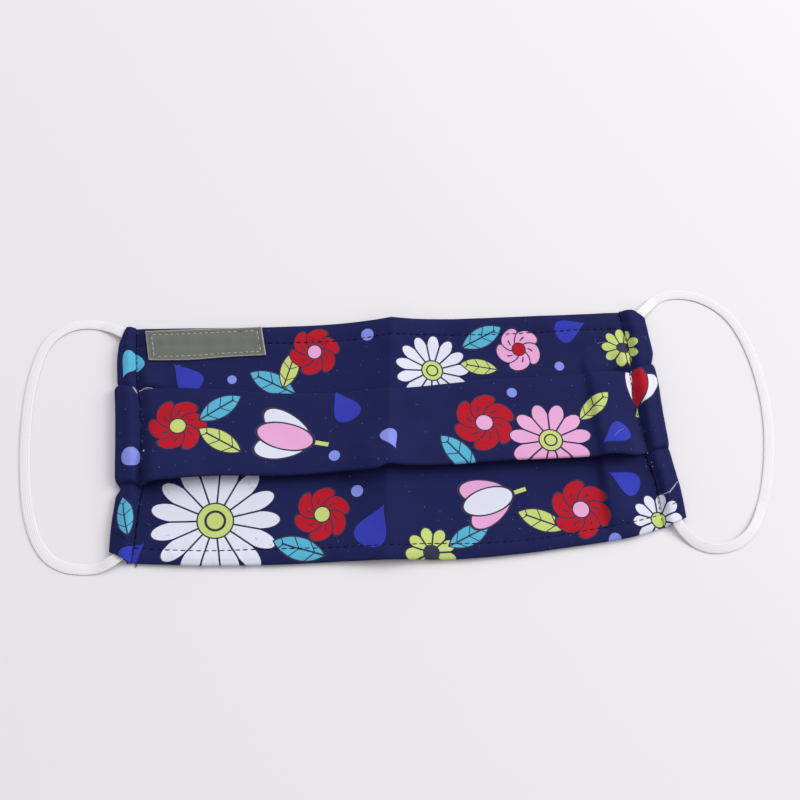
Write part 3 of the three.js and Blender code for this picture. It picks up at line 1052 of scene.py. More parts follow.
    def surface(
        self, x: np.ndarray, y: np.ndarray, z: np.ndarray, layers: Sequence[Optional[Layer]],
    ) -> tuple[np.ndarray, np.ndarray]:
        """Bend the stack of cloth: crease, slack, seams and the pull of the stitches.

        Args:
            x: Straight place of each column.
            y: Place up the mask of each station in each column.
            z: Height of each station in each column.
            layers: The layer of each station.

        Returns:
            Place across the mask and height of each station in each column.
        """
        form = self.form
        across = x / form.seam_x
        end = np.where(
            across[None, :] < 0,
            form.stitch_x(Side.LEFT, form.along(Side.LEFT, y)),
            form.stitch_x(Side.RIGHT, form.along(Side.RIGHT, y)),
        )
        placed = end * across + form.crease_x(y) * (1 - np.abs(across))
        from_seam = end - np.abs(placed)
        shown = np.array([layer is not None for layer in layers])[:, None]
        top, bottom = form.edge("top", x), form.edge("bottom", x)
        from_top = np.abs(top - y - form.top_hem + form.top_margin)
        gap = np.minimum(from_top, np.abs(y - bottom - form.bottom_hem + form.bottom_margin))
        outer = np.array([layer in (Layer.TOP, Layer.LOWER) for layer in layers])[:, None]
        beat = 0.65 + 0.35 * np.cos(2 * np.pi * placed / self.stitch_pitch)
        stitched = self.groove * bell(gap, 0.75) * beat
        ripple = self.ripple * np.sin(placed / 0.93 + 1.3 * np.sin(placed / 4.1)) * bell(gap, 2.6)
        half = form.wall / 2
        height = half + (z - half) * form.seam_squeeze(from_seam)
        above = np.clip((z - half) / 0.9, 0, 1)
        height = height + np.where(outer & shown, ripple - stitched, 0) * above
        gather = self.gather * np.sin(y / 0.82 + np.sin(y / 3.7)) * bell(from_seam, 2.8) * shown
        lift = np.maximum(form.lift(placed, y), 0) * np.clip(z / 0.5, 0, 1)
        return placed, height + gather * above + lift

    def build(self, cloth: PrintedCloth) -> bpy.types.Object:
        """Build the panel and dress it.

        Args:
            cloth: The printed cloth's finish.

        Returns:
            The panel.
        """
        x = np.linspace(-1, 1, self.columns + 1) * self.form.seam_x
        y, z, v, layers = self.stations(x)
        placed, height = self.surface(x, y, z, layers)
        corners = np.stack([placed, y, height], axis=-1).reshape(-1, 3)
        rows, columns = y.shape
        piece = new_mesh("panel_cloth", corners, grid_faces(rows, columns))
        set_uv(piece, "cloth", np.stack([placed, -v], axis=-1).reshape(-1, 2))
        order = [Layer.TOP, Layer.MIDDLE, Layer.LOWER]
        for layer in order:
            chosen = [m for m in cloth.design.motifs if m.layer is layer]
            piece.data.materials.append(cloth.material(f"print_{layer.value}", chosen))
        piece.data.materials.append(cloth.reverse())
        names = [order.index(layers[row]) if layers[row] else 3 for row in range(rows - 1)]
        slots = np.repeat(names, columns - 1)
        piece.data.polygons.foreach_set("material_index", slots)
        thicken(piece, self.form.wall)
        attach(piece, "root")
        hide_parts("pleated_panel")
        return piece


@dataclass
class SideCasing:
    """The cloth turned back at one side, with the elastic's channel inside it."""

    form: ClothForm
    side: Side
    height: float = 3.3
    puff: float = 0.9
    shoulder: float = 0.78
    fold_step: float = 1.0
    flat_share: float = 0.72
    rows: int = 250
    back_steps: int = 8
    edge_steps: int = 14
    front_steps: int = 22

    def fold_lines(self, share: float) -> tuple[float, float]:
        """Return the places of the upper and the lower fold at a share of the way out."""
        seam = self.side.value * self.form.seam_x
        upper, lower = float(self.form.edge("upper", seam)), float(self.form.edge("lower", seam))
        notches = FOLD_NOTCHES[self.side]
        low_way = 1 - (1 - share) ** FOLD_CURVES[self.side]
        up_way = share ** 1.6
        return upper + 0.6 + (notches[0] - upper - 0.6) * up_way, lower + (notches[1] - lower) * low_way

    def section(self) -> list[tuple[float, float, bool]]:
        """List the lines of the casing from the seam, round its outer edge and back to the seam.

        Returns:
            For each line its share of the way out, its share of the height, and whether it is in front.
        """
        flat, lines = self.flat_share, []
        for share in np.linspace(0, 1, self.back_steps, endpoint=False):
            lines.append((share * flat, 0.0, False))
        for angle in np.linspace(-np.pi / 2, np.pi / 2, self.edge_steps + 1):
            height = 0.5 + 0.5 * math.sin(angle)
            lines.append((flat + (1 - flat) * math.cos(angle), height, height > 0.5))
        for share in np.linspace(0, 1, self.front_steps + 1)[1:]:
            lines.append((flat * (1 - share), 1 + share, True))
        return lines

    def line(self, out: float, level: float, front: bool) -> np.ndarray:
        """Give the corners of one line of the casing.

        Args:
            out: Share of the way from the stitches to the outer edge.
            level: 0 on the surface, 1 at the full height, 2 back at the stitches.
            front: Whether the line can be seen from the front.

        Returns:
            Its corners in millimetres.
        """
        form, side = self.form, self.side
        seam = side.value * form.seam_x
        low, high = float(form.edge("bottom", seam)), float(form.edge("top", seam))
        (top_corner, top_start), (bottom_corner, bottom_start) = CASING_CORNERS[side]
        top_cut, bottom_cut = (
            max(0.0, out * form.casing_width - start) / (form.casing_width - start)
            for start in (top_start, bottom_start)
        )
        base_low, base_high = low + bottom_corner * bottom_cut, high - top_corner * top_cut ** 1.25
        along = np.linspace(0, 1, self.rows + 1)
        place = base_low + (base_high - base_low) * along
        upper, lower = self.fold_lines(out)
        outer_upper, outer_lower = self.fold_lines(1.0)
        steps = (0, lower - base_low, upper - base_low, base_high - base_low)
        old = np.interp(along * (base_high - base_low), steps, (0, *self.table_folds, 1))
        lobes = LOBES[side]
        stitch = form.stitch_x(side, (place - low) / (high - low))
        below, reach, depth = LOWER_NOTCHES[side]
        notch = bell(place - outer_lower + below, reach) * depth + bell(place - outer_upper, 0.9) * 0.7
        edge = form.width / 2 - form.casing_sway * lobes.at("sway", old) - notch * ease(out * 1.6 - 0.5)
        middle = ease((upper - place) / 0.5 + 0.5) * ease((place - lower) / 0.5 + 0.5)
        gap = bell(place - lower + 0.7, 0.55) + 0.5 * bell(place - upper - 0.7, 0.6)
        hem = form.wall / 2
        peak = self.height + self.puff * lobes.at("puff", old) + self.fold_step * (middle - 0.5)
        base = (1.5 + 1.4 * middle) * float(form.seam_squeeze(0.0)) + 0.4
        shoulder = hem + self.shoulder * (peak - hem)
        if level <= 1:
            z = hem + (shoulder - hem) * level
        else:
            share = level - 1
            crest = shoulder + (peak - shoulder) * math.sin(math.pi / 2 * min(1.0, share / 0.5))
            z = crest + (base - crest) * float(ease((share - 0.45) / 0.55)) ** 1.5
        width = edge - stitch
        if front:
            crumple = 0.15 * np.sin(place / 0.95 + 1.5 * out + np.sin(place / 3.1))
            z = z + crumple * (0.35 + bell(out * width, 2.5)) - 0.55 * gap * np.minimum(1, level)
        x = side.value * (stitch + 0.05 + out * width)
        lift = form.lift(x, place) * np.clip((z - hem) / 2, 0, 1) * 0.4
        return np.stack([x, place, np.maximum(z + lift, hem)], axis=-1)

    @property
    def table_folds(self) -> tuple[float, float]:
        """Return where the lobes' table has its two folds."""
        return (0.265, 0.73) if self.side is Side.LEFT else (0.29, 0.72)

    def build(self, cloth: PrintedCloth) -> bpy.types.Object:
        """Build the casing and dress it.

        Args:
            cloth: The printed cloth's finish.

        Returns:
            The casing.
        """
        form, side = self.form, self.side
        seam = side.value * form.seam_x
        section = self.section()
        lines = [self.line(*spot) for spot in section]
        steps = [float(np.mean(np.linalg.norm(b - a, axis=-1))) for a, b in zip(lines, lines[1:])]
        girths = np.concatenate([[0], np.cumsum(steps)])
        uv = []
        for spot, line, girth in zip(section, lines, girths):
            place = line[:, 1]
            upper, lower = self.fold_lines(spot[0])
            down = np.where(
                place > upper, form.cloth_v(Layer.TOP, seam, place),
                np.where(place > lower, form.cloth_v(Layer.MIDDLE, seam, place),
                         form.cloth_v(Layer.LOWER, seam, place)),
            )
            across = side.value * (form.seam_x + girths[-1] - girth) + 0 * place
            uv.append(np.stack([across, -down], axis=-1))
        faces = grid_faces(len(lines), self.rows + 1)
        if side is Side.RIGHT:
            faces = [face[::-1] for face in faces]
        name = side.name.lower()
        piece = new_mesh(f"{name}_casing_cloth", np.stack(lines).reshape(-1, 3), faces)
        set_uv(piece, "cloth", np.stack(uv).reshape(-1, 2))
        chosen = [motif for motif in cloth.design.motifs if motif.near_seam(side, form)]
        piece.data.materials.append(cloth.material(f"print_{name}", chosen))
        thicken(piece, form.wall)
        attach(piece, "root")
        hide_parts(f"{name}_casing")
        length = float(form.edge("top", seam) - form.edge("bottom", seam))
        log.info("%s casing: flat %.1f by %.1f mm", name, girths[-1], length)
        return piece


@dataclass(frozen=True)
class LabelTape:
    """Woven grey-green tape with a lighter selvedge."""

    length: float
    height: float

    def material(self) -> bpy.types.Material:
        """Return the material of the tape."""
        shader = Shader("label_tape")
        place = shader.uv("tape")
        across, up = shader.parts(place)
        inner = (self.length / 2 - abs(across)).smaller(self.height / 2 - abs(up))
        mottle = shader.noise(place, 0.9, 3.0)
        twill, ribs = shader.waves(across + up, 0.46), shader.waves(up, 0.3)
        # A dark line just inside the rim is painted shade along the stitch groove.
        rim, groove_shade = shader.fade(inner, 1.2, 1.9), shader.fade(abs(inner - 1.25), 0.1, 0.4)
        # Paler cut edge: fraying fibres, partly a painted highlight where the edge catches the light.
        cut = shader.fade(inner + mottle * 0.2, 0.2, 0.42)
        rimmed = shader.mix(shader.mix(*TAPE, mottle), TAPE_RIM, rim * 0.75)
        shaded_and_frayed = shader.mix(shader.mix(rimmed, TAPE_GROOVE_SHADE, groove_shade * 0.6), TAPE_FRAY_AND_HIGHLIGHT, cut * 0.85)
        lit = shader.mix(shaded_and_frayed, TAPE_LIT, (twill * 0.5 + 0.5) * 0.12)
        return shader.finish({
            "Base Color": lit,
            "Roughness": mottle * 0.1 + 0.72,
            "Normal": shader.bump(twill * 0.6 + ribs * 0.4, 0.45, 0.1),
            "Sheen Weight": 0.15,
            "Specular IOR Level": 0.35,
        })


@dataclass(frozen=True)
class KnittedElastic:
    """White knitted elastic with wales along its length."""

    wales: int = 6

    def material(self) -> bpy.types.Material:
        """Return the material of the elastic."""
        shader = Shader("knitted_elastic")
        place = shader.uv("band")
        across, along = shader.parts(place)
        wale = (across * (2 * math.pi * self.wales)).cosine()
        chevron = (along * (2 * math.pi / 0.62) + abs(wale) * 1.6).sine()
        fuzz = shader.noise(place, 3.0, 3.0)
        shade = shader.mix(*ELASTIC, wale * 0.25 + chevron * 0.2 + 0.5)
        return shader.finish({
            "Base Color": shade,
            "Roughness": fuzz * 0.1 + 0.8,
            "Normal": shader.bump(wale * 0.6 + chevron * 0.5 + fuzz * 0.2, 0.4, 0.12),
            "Sheen Weight": 0.2,
            "Specular IOR Level": 0.3,
        })


@dataclass(frozen=True)
class SewingThread:
    """Twisted thread of one colour."""

    name: str
    colour: Colour
    tint_and_light: Optional[Colour] = None
    patches: float = 600.0
    start: float = 0.6

    def material(self) -> bpy.types.Material:
        """Return the material of the thread, with patches of its second colour where it has one."""
        shader = Shader(self.name)
        place = shader.own_place()
        twist = shader.noise(place, 2600.0, 1.0)
        pale = tuple(min(1.0, c * 1.6 + 0.002) for c in self.colour)
        shade = shader.mix(self.colour, pale, twist)
        # Patches of the second colour: a painted highlight on the side stitches, painted shade on the label
        # stitches, the fibres' own tone on lint.
        if self.tint_and_light:
            spots = shader.noise(place, self.patches, 1.0)
            patch = shader.fade(spots, self.start, self.start + 0.12, falling=False)
            shade = shader.mix(shade, self.tint_and_light, patch)
        return shader.finish({
            "Base Color": shade,
            "Roughness": twist * 0.2 + 0.5,
            "Normal": shader.bump(twist, 0.3, 0.05),
            "Specular IOR Level": 0.12,
        })


@dataclass
class Label:
    """The bare woven label on the upper panel."""

    form: ClothForm
    length: float = 40.5
    height: float = 10.9
    wall: float = 0.45
    inset: float = 2
    left: float = -85.2
    float_gap: float = 0.06
    rise: float = 0.7
    lean: float = 1.3
    sag: float = 0.6
    end_puff: tuple[float, float] = (0.22, 2.0)
    edge_puff: tuple[float, float] = (0.18, 1.6)
    groove: float = 0.14
    groove_inset: float = 1.7
    rows: int = 26
    columns: int = 84

    def build(self, ground: BVHTree) -> bpy.types.Object:
        """Build the label on the cloth below it.

        Args:
            ground: The upper panel's surface.

        Returns:
            The label.
        """
        across = np.linspace(-0.5, 0.5, self.columns) * self.length
        up = np.linspace(0.5, -0.5, self.rows) * self.height
        corners, places = [], []
        for v in up:
            for u in across:
                x, y = self.place(float(u), float(v))
                from_end, from_edge = self.length / 2 - abs(u), self.height / 2 - abs(v)
                puff = self.end_puff[0] * (1 - min(1.0, from_end / self.end_puff[1])) ** 2
                puff += self.edge_puff[0] * (1 - min(1.0, from_edge / self.edge_puff[1])) ** 2
                groove = self.groove * float(bell(min(from_end, from_edge) - self.groove_inset, 0.5))
                corners.append((x, y, self.rest(ground, x, y) + puff - groove))
                places.append((u, v))
        heights = np.array([c[2] for c in corners]).reshape(self.rows, self.columns)
        for _ in range(6):
            padded = np.pad(heights, 1, mode="edge")
            around = padded[:-2, 1:-1] + padded[2:, 1:-1] + padded[1:-1, :-2] + padded[1:-1, 2:]
            heights = around / 8 + heights / 2
        flat = np.array(corners)
        flat[:, 2] = np.maximum(heights.ravel(), flat[:, 2] - 0.02)
        piece = new_mesh("label_tape", flat, grid_faces(self.rows, self.columns))
        set_uv(piece, "tape", np.array(places))
        piece.data.materials.append(LabelTape(self.length, self.height).material())
        thicken(piece, self.wall)
        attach(piece, "root")
        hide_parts("label")
        return piece

    def place(self, u: float, v: float) -> tuple[float, float]:
        """Return where a place on the flat label lies on the mask, from the label's middle."""
        low = 0.5 - v / self.height
        droop = self.sag * float(bell(u + self.length / 6, self.length / 4)) * low
        x = self.left + self.length / 2 + u + self.lean * (low - 0.5)
        y = self.form.half_height - self.inset - self.height / 2 + self.rise + v - droop
        return x, y

    def rest(self, ground: BVHTree, x: float, y: float) -> float:
        """Return the height of the label's middle over a place on the cloth."""
        return height_at(ground, x, y) + self.float_gap + self.wall / 2


@dataclass
class EarLoop:
    """A flat elastic band that lies on the surface and goes into both mouths of a casing."""

    side: Side
    route: Sequence[tuple[float, float, float]]
    tilts: Table
    width: float = 3.5
    wall: float = 0.38
    sink: float = 0.36
    fullness: float = 0.78
    wale_height: float = 0.07
    floor_share: float = 0.55
    steps: int = 420
    ring: int = 28

    def centres(self) -> np.ndarray:
        """Return evenly spaced points on a smooth curve through the route."""
        points = np.array(self.route, float)
        padded = np.vstack([2 * points[0] - points[1], points, 2 * points[-1] - points[-2]])
        curve = []
        for index in range(1, len(padded) - 2):
            a, b, c, d = padded[index - 1:index + 3]
            for t in np.linspace(0, 1, 40, endpoint=False):
                curve.append(0.5 * (2 * b + (c - a) * t + (2 * a - 5 * b + 4 * c - d) * t ** 2
                                    + (3 * b - a - 3 * c + d) * t ** 3))
        curve.append(points[-1])
        fine = np.array(curve)
        way = way_along(fine)
        even = np.linspace(0, way[-1], self.steps + 1)
        return np.stack([np.interp(even, way, fine[:, axis]) for axis in range(3)], axis=-1)

    def build(self, finish: KnittedElastic) -> bpy.types.Object:
        """Build the band and dress it.

        Args:
            finish: The elastic's finish.

        Returns:
            The band.
        """
        centre = self.centres()
        way = way_along(centre)
        share = way / way[-1]
        tangent = np.gradient(centre, axis=0)
        tangent /= np.linalg.norm(tangent, axis=1, keepdims=True)
        flat = np.cross(np.array([0, 0, 1.0]), tangent)
        flat /= np.linalg.norm(flat, axis=1, keepdims=True)
        normal = np.cross(tangent, flat)
        tilt = np.radians(self.tilts.at("tilt", share))[:, None]
        wide = flat * np.cos(tilt) + normal * np.sin(tilt)
        thick = normal * np.cos(tilt) - flat * np.sin(tilt)
        reach = np.abs(wide[:, 2]) * self.width / 2 + np.abs(thick[:, 2]) * self.wall * self.floor_share
        centre[:, 2] = np.maximum(centre[:, 2] - self.sink, reach)
        angles = np.linspace(0, 2 * np.pi, self.ring, endpoint=False)
        corners, places = [], []
        for index in range(len(centre)):
            for angle in angles:
                c, s = math.cos(angle), math.sin(angle)
                u = math.copysign(abs(c) ** self.fullness, c) * self.width / 2
                h = math.copysign(abs(s) ** self.fullness, s) * self.wall / 2
                rib = 1 + self.wale_height * math.cos(2 * math.pi * finish.wales * (u / self.width + 0.5))
                rib *= 1 + 0.02 * math.sin(way[index] * 2 * math.pi / 1.24)
                corners.append(centre[index] + wide[index] * u + thick[index] * h * rib)
                places.append((u / self.width + 0.5, way[index]))
        faces = []
        for step in range(len(centre) - 1):
            for spot in range(self.ring):
                following = (spot + 1) % self.ring
                a, b = step * self.ring, (step + 1) * self.ring
                faces.append((a + spot, a + following, b + following, b + spot))
        last = (len(centre) - 1) * self.ring
        faces.append(tuple(range(self.ring))[::-1])
        faces.append(tuple(last + spot for spot in range(self.ring)))
        name = f"{self.side.name.lower()}_elastic"
        piece = new_mesh(name, np.array(corners), faces)
        set_uv(piece, "band", np.array(places))
        piece.data.materials.append(finish.material())
        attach(piece, "root")
        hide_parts(f"{self.side.name.lower()}_ear_loop")
        log.info("%s elastic: %.1f mm", self.side.name.lower(), way[-1])
        return piece


@dataclass
class StitchLine:
    """A row of stitches: a polyline in the plane, its pitch and its thread."""

    points: Sequence[tuple[float, float]]
    pitch: float = 2.5
    length: float = 2.25

    def spots(self) -> list[tuple[np.ndarray, np.ndarray]]:
        """Return the two ends of each stitch in the plane."""
        points = np.array(self.points, float)
        way = way_along(points)
        ends = []
        for start in np.arange(0.2, way[-1] - self.length, self.pitch):
            pair = [
                np.array([np.interp(at, way, points[:, 0]), np.interp(at, way, points[:, 1])])
                for at in (start, start + self.length)
            ]
            ends.append((pair[0], pair[1]))
        return ends


def height_at(ground: BVHTree, x: float, y: float) -> Optional[float]:
    """Return the height of a surface at a place, in millimetres, or nothing beside it."""
    hit = ground.ray_cast(Vector((x * MM, y * MM, 0.05)), Vector((0, 0, -1)))[0]
    return None if hit is None else hit.z / MM


class Needle:
    """Sews rows of stitches onto surfaces, from one modelled stitch."""

    def __init__(self, thickness: float, sink: float) -> None:
        """Model the stitch that is copied, with its thickness and how deep it sinks in."""
        self.thickness = thickness
        self.sink = sink
        self.corners, self.faces = self.model()

    def model(self) -> tuple[np.ndarray, list[tuple[int, ...]]]:
        """Model a stitch one unit long, with its ends dipping into the cloth.

        Returns:
            Its corners and faces.
        """
        bpy.ops.object.select_all(action="DESELECT")
        lying = (0, math.pi / 2, 0)
        bpy.ops.mesh.primitive_uv_sphere_add(segments=8, ring_count=7, radius=0.5, rotation=lying)
        stitch = bpy.context.active_object
        bpy.ops.object.transform_apply(location=False, rotation=True, scale=False)
        mesh = stitch.data
        corners = np.array([tuple(v.co) for v in mesh.vertices])
        rings = [list(p.vertices) for p in mesh.polygons]
        starts = [ring.index(min(ring)) for ring in rings]
        faces = sorted(tuple(ring[start:] + ring[:start]) for ring, start in zip(rings, starts))
        bpy.data.objects.remove(stitch)
        corners[:, 0] = np.sign(corners[:, 0]) * np.abs(corners[:, 0] * 2) ** 0.7 / 2
        return corners, faces

    def sew(
        self, name: str, lines: Sequence[StitchLine], grounds: Sequence[BVHTree], thread: SewingThread,
    ) -> bpy.types.Object:
        """Lay every stitch of some rows on what is below it.

        Args:
            name: The name of the joined piece.
            lines: The rows.
            grounds: The surfaces below.
            thread: The thread's finish.

        Returns:
            All the stitches as one piece.
        """
        corners, faces = [], []
        for line in lines:
            for first, second in line.spots():
                ends = [self.drop(grounds, first), self.drop(grounds, second)]
                middle = self.drop(grounds, (first + second) / 2)
                if None in ends or middle is None:
                    continue
                start, end = (np.array(e) for e in ends)
                run = end - start
                long = np.linalg.norm(run)
                if long > line.length * 1.5:
                    continue
                ahead = run / long
                aside = np.cross([0, 0, 1.0], ahead)
                aside /= np.linalg.norm(aside)
                up = np.cross(ahead, aside)
                bowed = self.corners.copy()
                centre = (start + end) / 2
                centre[2] = max(centre[2], middle[2])
                dip = self.thickness * 0.9 * (2 * bowed[:, 0]) ** 2
                height = bowed[:, 2] * self.thickness - dip * 0.5 - self.sink + self.thickness / 2
                body = centre + np.outer(bowed[:, 0] * long, ahead)
                body = body + np.outer(bowed[:, 1] * self.thickness, aside) + np.outer(height, up)
                faces.extend(tuple(i + len(corners) for i in face) for face in self.faces)
                corners.extend(body)
        piece = new_mesh(name, np.array(corners), faces)
        piece.data.materials.append(thread.material())
        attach(piece, "root")
        return piece

    @staticmethod
    def drop(grounds: Sequence[BVHTree], spot: np.ndarray) -> Optional[tuple[float, float, float]]:
        """Return the highest point of the surfaces below a spot, in millimetres."""
        heights = [height_at(ground, *spot) for ground in grounds]
        found = [height for height in heights if height is not None]
        return (spot[0], spot[1], max(found)) if found else None


class Tubes:
    """Collects thin round threads into one mesh."""

    def __init__(self, sides: int) -> None:
        """Start empty, with the number of sides round a thread."""
        self.sides = sides
        self.corners: list[np.ndarray] = []
        self.faces: list[tuple[int, ...]] = []

    def add(self, points: np.ndarray, radius: float) -> None:
        """Add a thread along a polyline.

        Args:
            points: Its middle line in millimetres.
            radius: Its radius in millimetres.
        """
        tangent = np.gradient(points, axis=0)
        tangent /= np.linalg.norm(tangent, axis=1, keepdims=True) + 1e-9
        aside = np.cross(tangent, [0, 0, 1.0])
        aside /= np.linalg.norm(aside, axis=1, keepdims=True) + 1e-9
        above = np.cross(aside, tangent)
        first, sides = len(self.corners), self.sides
        for index, point in enumerate(points):
            slim = radius * (0.55 if index in (0, len(points) - 1) else 1.0)
            for spot in range(sides):
                angle = 2 * math.pi * spot / sides
                around = math.cos(angle) * aside[index] + math.sin(angle) * above[index]
                self.corners.append(point + slim * around)
        for step in range(len(points) - 1):
            for spot in range(sides):
                a, b = first + step * sides + spot, first + step * sides + (spot + 1) % sides
                self.faces.append((a, a + sides, b + sides, b))
        last = first + (len(points) - 1) * sides
        self.faces.append(tuple(first + spot for spot in range(sides)))
        self.faces.append(tuple(last + spot for spot in range(sides))[::-1])

    def piece(self, name: str, thread: SewingThread) -> bpy.types.Object:
        """Return the threads as one piece in a thread's finish."""
        piece = new_mesh(name, np.array(self.corners), self.faces)
        piece.data.materials.append(thread.material())
        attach(piece, "root")
        return piece


@dataclass
class Strays:
    """Lint, loose fibres and thread ends that lie on the cloth."""

    grounds: Sequence[BVHTree]
    seed: int = 11
    fibres: int = 130
    specks: int = 560
    fibre_steps: tuple[float, ...] = (0.1, 0.14, 0.2, 0.32)
    tail_radius: float = 0.2

    def laid(
        self, points: Sequence[tuple[float, float]], above: float, steps: int,
    ) -> Optional[np.ndarray]:
        """Lay a thread on what is below it.

        Args:
            points: Its way in the plane.
            above: Height of its middle over the surface.
            steps: Points along it.

        Returns:
            Its middle line, or nothing where no cloth is below.
        """
        route = np.array(points, float)
        share = np.linspace(0, len(route) - 1, steps)
        plan = np.stack([np.interp(share, range(len(route)), route[:, axis]) for axis in (0, 1)], axis=-1)
        for _ in range(steps // 4):
            plan[1:-1] = (plan[:-2] + 2 * plan[1:-1] + plan[2:]) / 4
        spots = [Needle.drop(self.grounds, spot) for spot in plan]
        if any(spot is None for spot in spots):
            return None
        line = np.array(spots)
        for _ in range(3):
            line[1:-1, 2] = np.maximum(line[1:-1, 2], (line[:-2, 2] + line[2:, 2]) / 2)
        line[:, 2] += above
        return line

    @staticmethod
    def spot(dice: random.Random) -> tuple[float, float]:
        """Return a place for a bit of lint, of which more lies low on the left."""
        if dice.random() < 0.3:
            return dice.triangular(-94, 10, -80), dice.triangular(-43, 5, -30)
        return dice.uniform(-94, 94), dice.uniform(-43, 44)

    def fibre(self, dice: random.Random) -> Optional[np.ndarray]:
        """Return the line of one loose fibre, or nothing where it misses the cloth."""
        x, y = self.spot(dice)
        heading, bend = dice.uniform(0, 2 * math.pi), dice.gauss(0, 0.5)
        step = dice.choice(self.fibre_steps)
        points = []
        for _ in range(7):
            points.append((x, y))
            x, y = x + step * math.cos(heading), y + step * math.sin(heading)
            heading += bend
        return self.laid(points, 0.05, 7)

    def build(self) -> None:
        """Scatter the lint and lay the thread ends."""
        dice = random.Random(self.seed)
        hairs = Tubes(3)
        for _ in range(self.fibres):
            line = self.fibre(dice)
            if line is not None:
                hairs.add(line, dice.uniform(0.016, 0.03))
        for _ in range(self.specks):
            spot = self.spot(dice)
            size = dice.uniform(0.035, 0.085)
            far = (spot[0] + size * 2, spot[1] + size * dice.uniform(-1, 1))
            line = self.laid([spot, far], size * 0.4, 3)
            if line is not None:
                hairs.add(line, size * 0.7)
        fluff = SewingThread("pale_lint", linear(76, 80, 118), linear(158, 162, 186), 90.0, 0.5)
        hairs.piece("lint", fluff)
        pale = Tubes(6)
        for points, radius in PALE_THREADS:
            line = self.laid(points, radius, 40)
            if line is not None:
                pale.add(line, radius)
        pale.piece("pale_threads", SewingThread("pale_thread", linear(172, 172, 186)))
        dark = Tubes(6)
        for points in DARK_TAILS:
            dark.add(np.array(points, float), self.tail_radius)
        dark.piece("thread_tails", SewingThread("tail_thread", linear(14, 15, 26)))


@dataclass
class Studio:
    """The camera at the photograph's angle, soft light and a pale floor."""

    azimuth: float = -13.15
    elevation: float = 67.0
    roll: float = 9.61
    distance: float = 350.1
    target: tuple[float, float] = (2.0, 13.63)
    lens: float = 45
    sensor: float = 36
    lamps: tuple[tuple, ...] = (
        ("key", (1.6, 0.45, 1.15), 1.2, 27.6, (1.0, 0.985, 0.98)),
        ("back", (0.15, 1.5, 1.8), 1.4, 18.0, (0.98, 0.985, 1.0)),
    )
    room_colour: Colour = (0.995, 0.98, 1.0)
    room_strength: float = 0.503
    floor_size: float = 6
    floor_drop: float = 0.0001

    def axes(self) -> tuple[np.ndarray, np.ndarray, np.ndarray]:
        """Return the camera's right, up and back directions."""
        a, e, r = (math.radians(v) for v in (self.azimuth, self.elevation, self.roll))
        back = np.array([math.sin(a) * math.cos(e), -math.cos(a) * math.cos(e), math.sin(e)])
        right = np.cross(-back, [0, 0, 1.0])
        right /= np.linalg.norm(right)
        up = np.cross(right, -back)
        return (
            math.cos(r) * right + math.sin(r) * up,
            -math.sin(r) * right + math.cos(r) * up,
            back,
        )

    def camera(self) -> None:
        """Place the camera."""
        right, up, back = self.axes()
        place = np.array([self.target[0], self.target[1], 0]) + back * self.distance
        data = bpy.data.cameras.new("camera")
        data.lens = self.lens
        data.sensor_width = self.sensor
        data.sensor_fit = "HORIZONTAL"
        data.clip_start = 0.01
        camera = bpy.data.objects.new("camera", data)
        turn = Matrix([[right[i], up[i], back[i]] for i in range(3)]).to_4x4()
        camera.matrix_world = Matrix.Translation(Vector(place * MM)) @ turn
        bpy.context.scene.collection.objects.link(camera)
        bpy.context.scene.camera = camera

    def light(self, name: str, place: Sequence[float], size: float, power: float, colour: Colour) -> None:
        """Add a square soft light that looks at the mask.

        Args:
            name: Its name.
            place: Its place in metres.
            size: Its width in metres.
            power: Its power in watts.
            colour: Its colour.
        """
        data = bpy.data.lights.new(name, "AREA")
        data.size = size
        data.energy = power
        data.color = colour
        lamp = bpy.data.objects.new(name, data)
        lamp.location = place
        lamp.rotation_euler = (-Vector(place)).to_track_quat("-Z", "Y").to_euler()
        bpy.context.scene.collection.objects.link(lamp)

    def build(self) -> None:
        """Build the whole studio."""
        self.camera()
        for lamp in self.lamps:
            self.light(*lamp)
        world = bpy.data.worlds.new("soft_room")
        world.use_nodes = True
        ground = world.node_tree.nodes["Background"]
        ground.inputs["Color"].default_value = (*self.room_colour, 1)
        ground.inputs["Strength"].default_value = self.room_strength
        bpy.context.scene.world = world
        bpy.ops.object.select_all(action="DESELECT")
        bpy.ops.mesh.primitive_plane_add(size=self.floor_size, location=(0, 0, -self.floor_drop))
        floor = bpy.context.active_object
        floor.name = "floor"
        shader = Shader("pale_table")
        soft = shader.noise(shader.own_place(), 2.5, 2.0)
        floor.data.materials.append(shader.finish({
            "Base Color": shader.mix(*FLOOR, soft),
            "Roughness": 0.65,
            "Specular IOR Level": 0.2,
        }))
        bpy.context.scene.view_settings.view_transform = "Standard"


def surface_of(piece: bpy.types.Object) -> BVHTree:
    """Return a piece's surface for dropping things on."""
    mesh = piece.data
    corners = [v.co.copy() for v in mesh.vertices]
    return BVHTree.FromPolygons(corners, [tuple(p.vertices) for p in mesh.polygons])


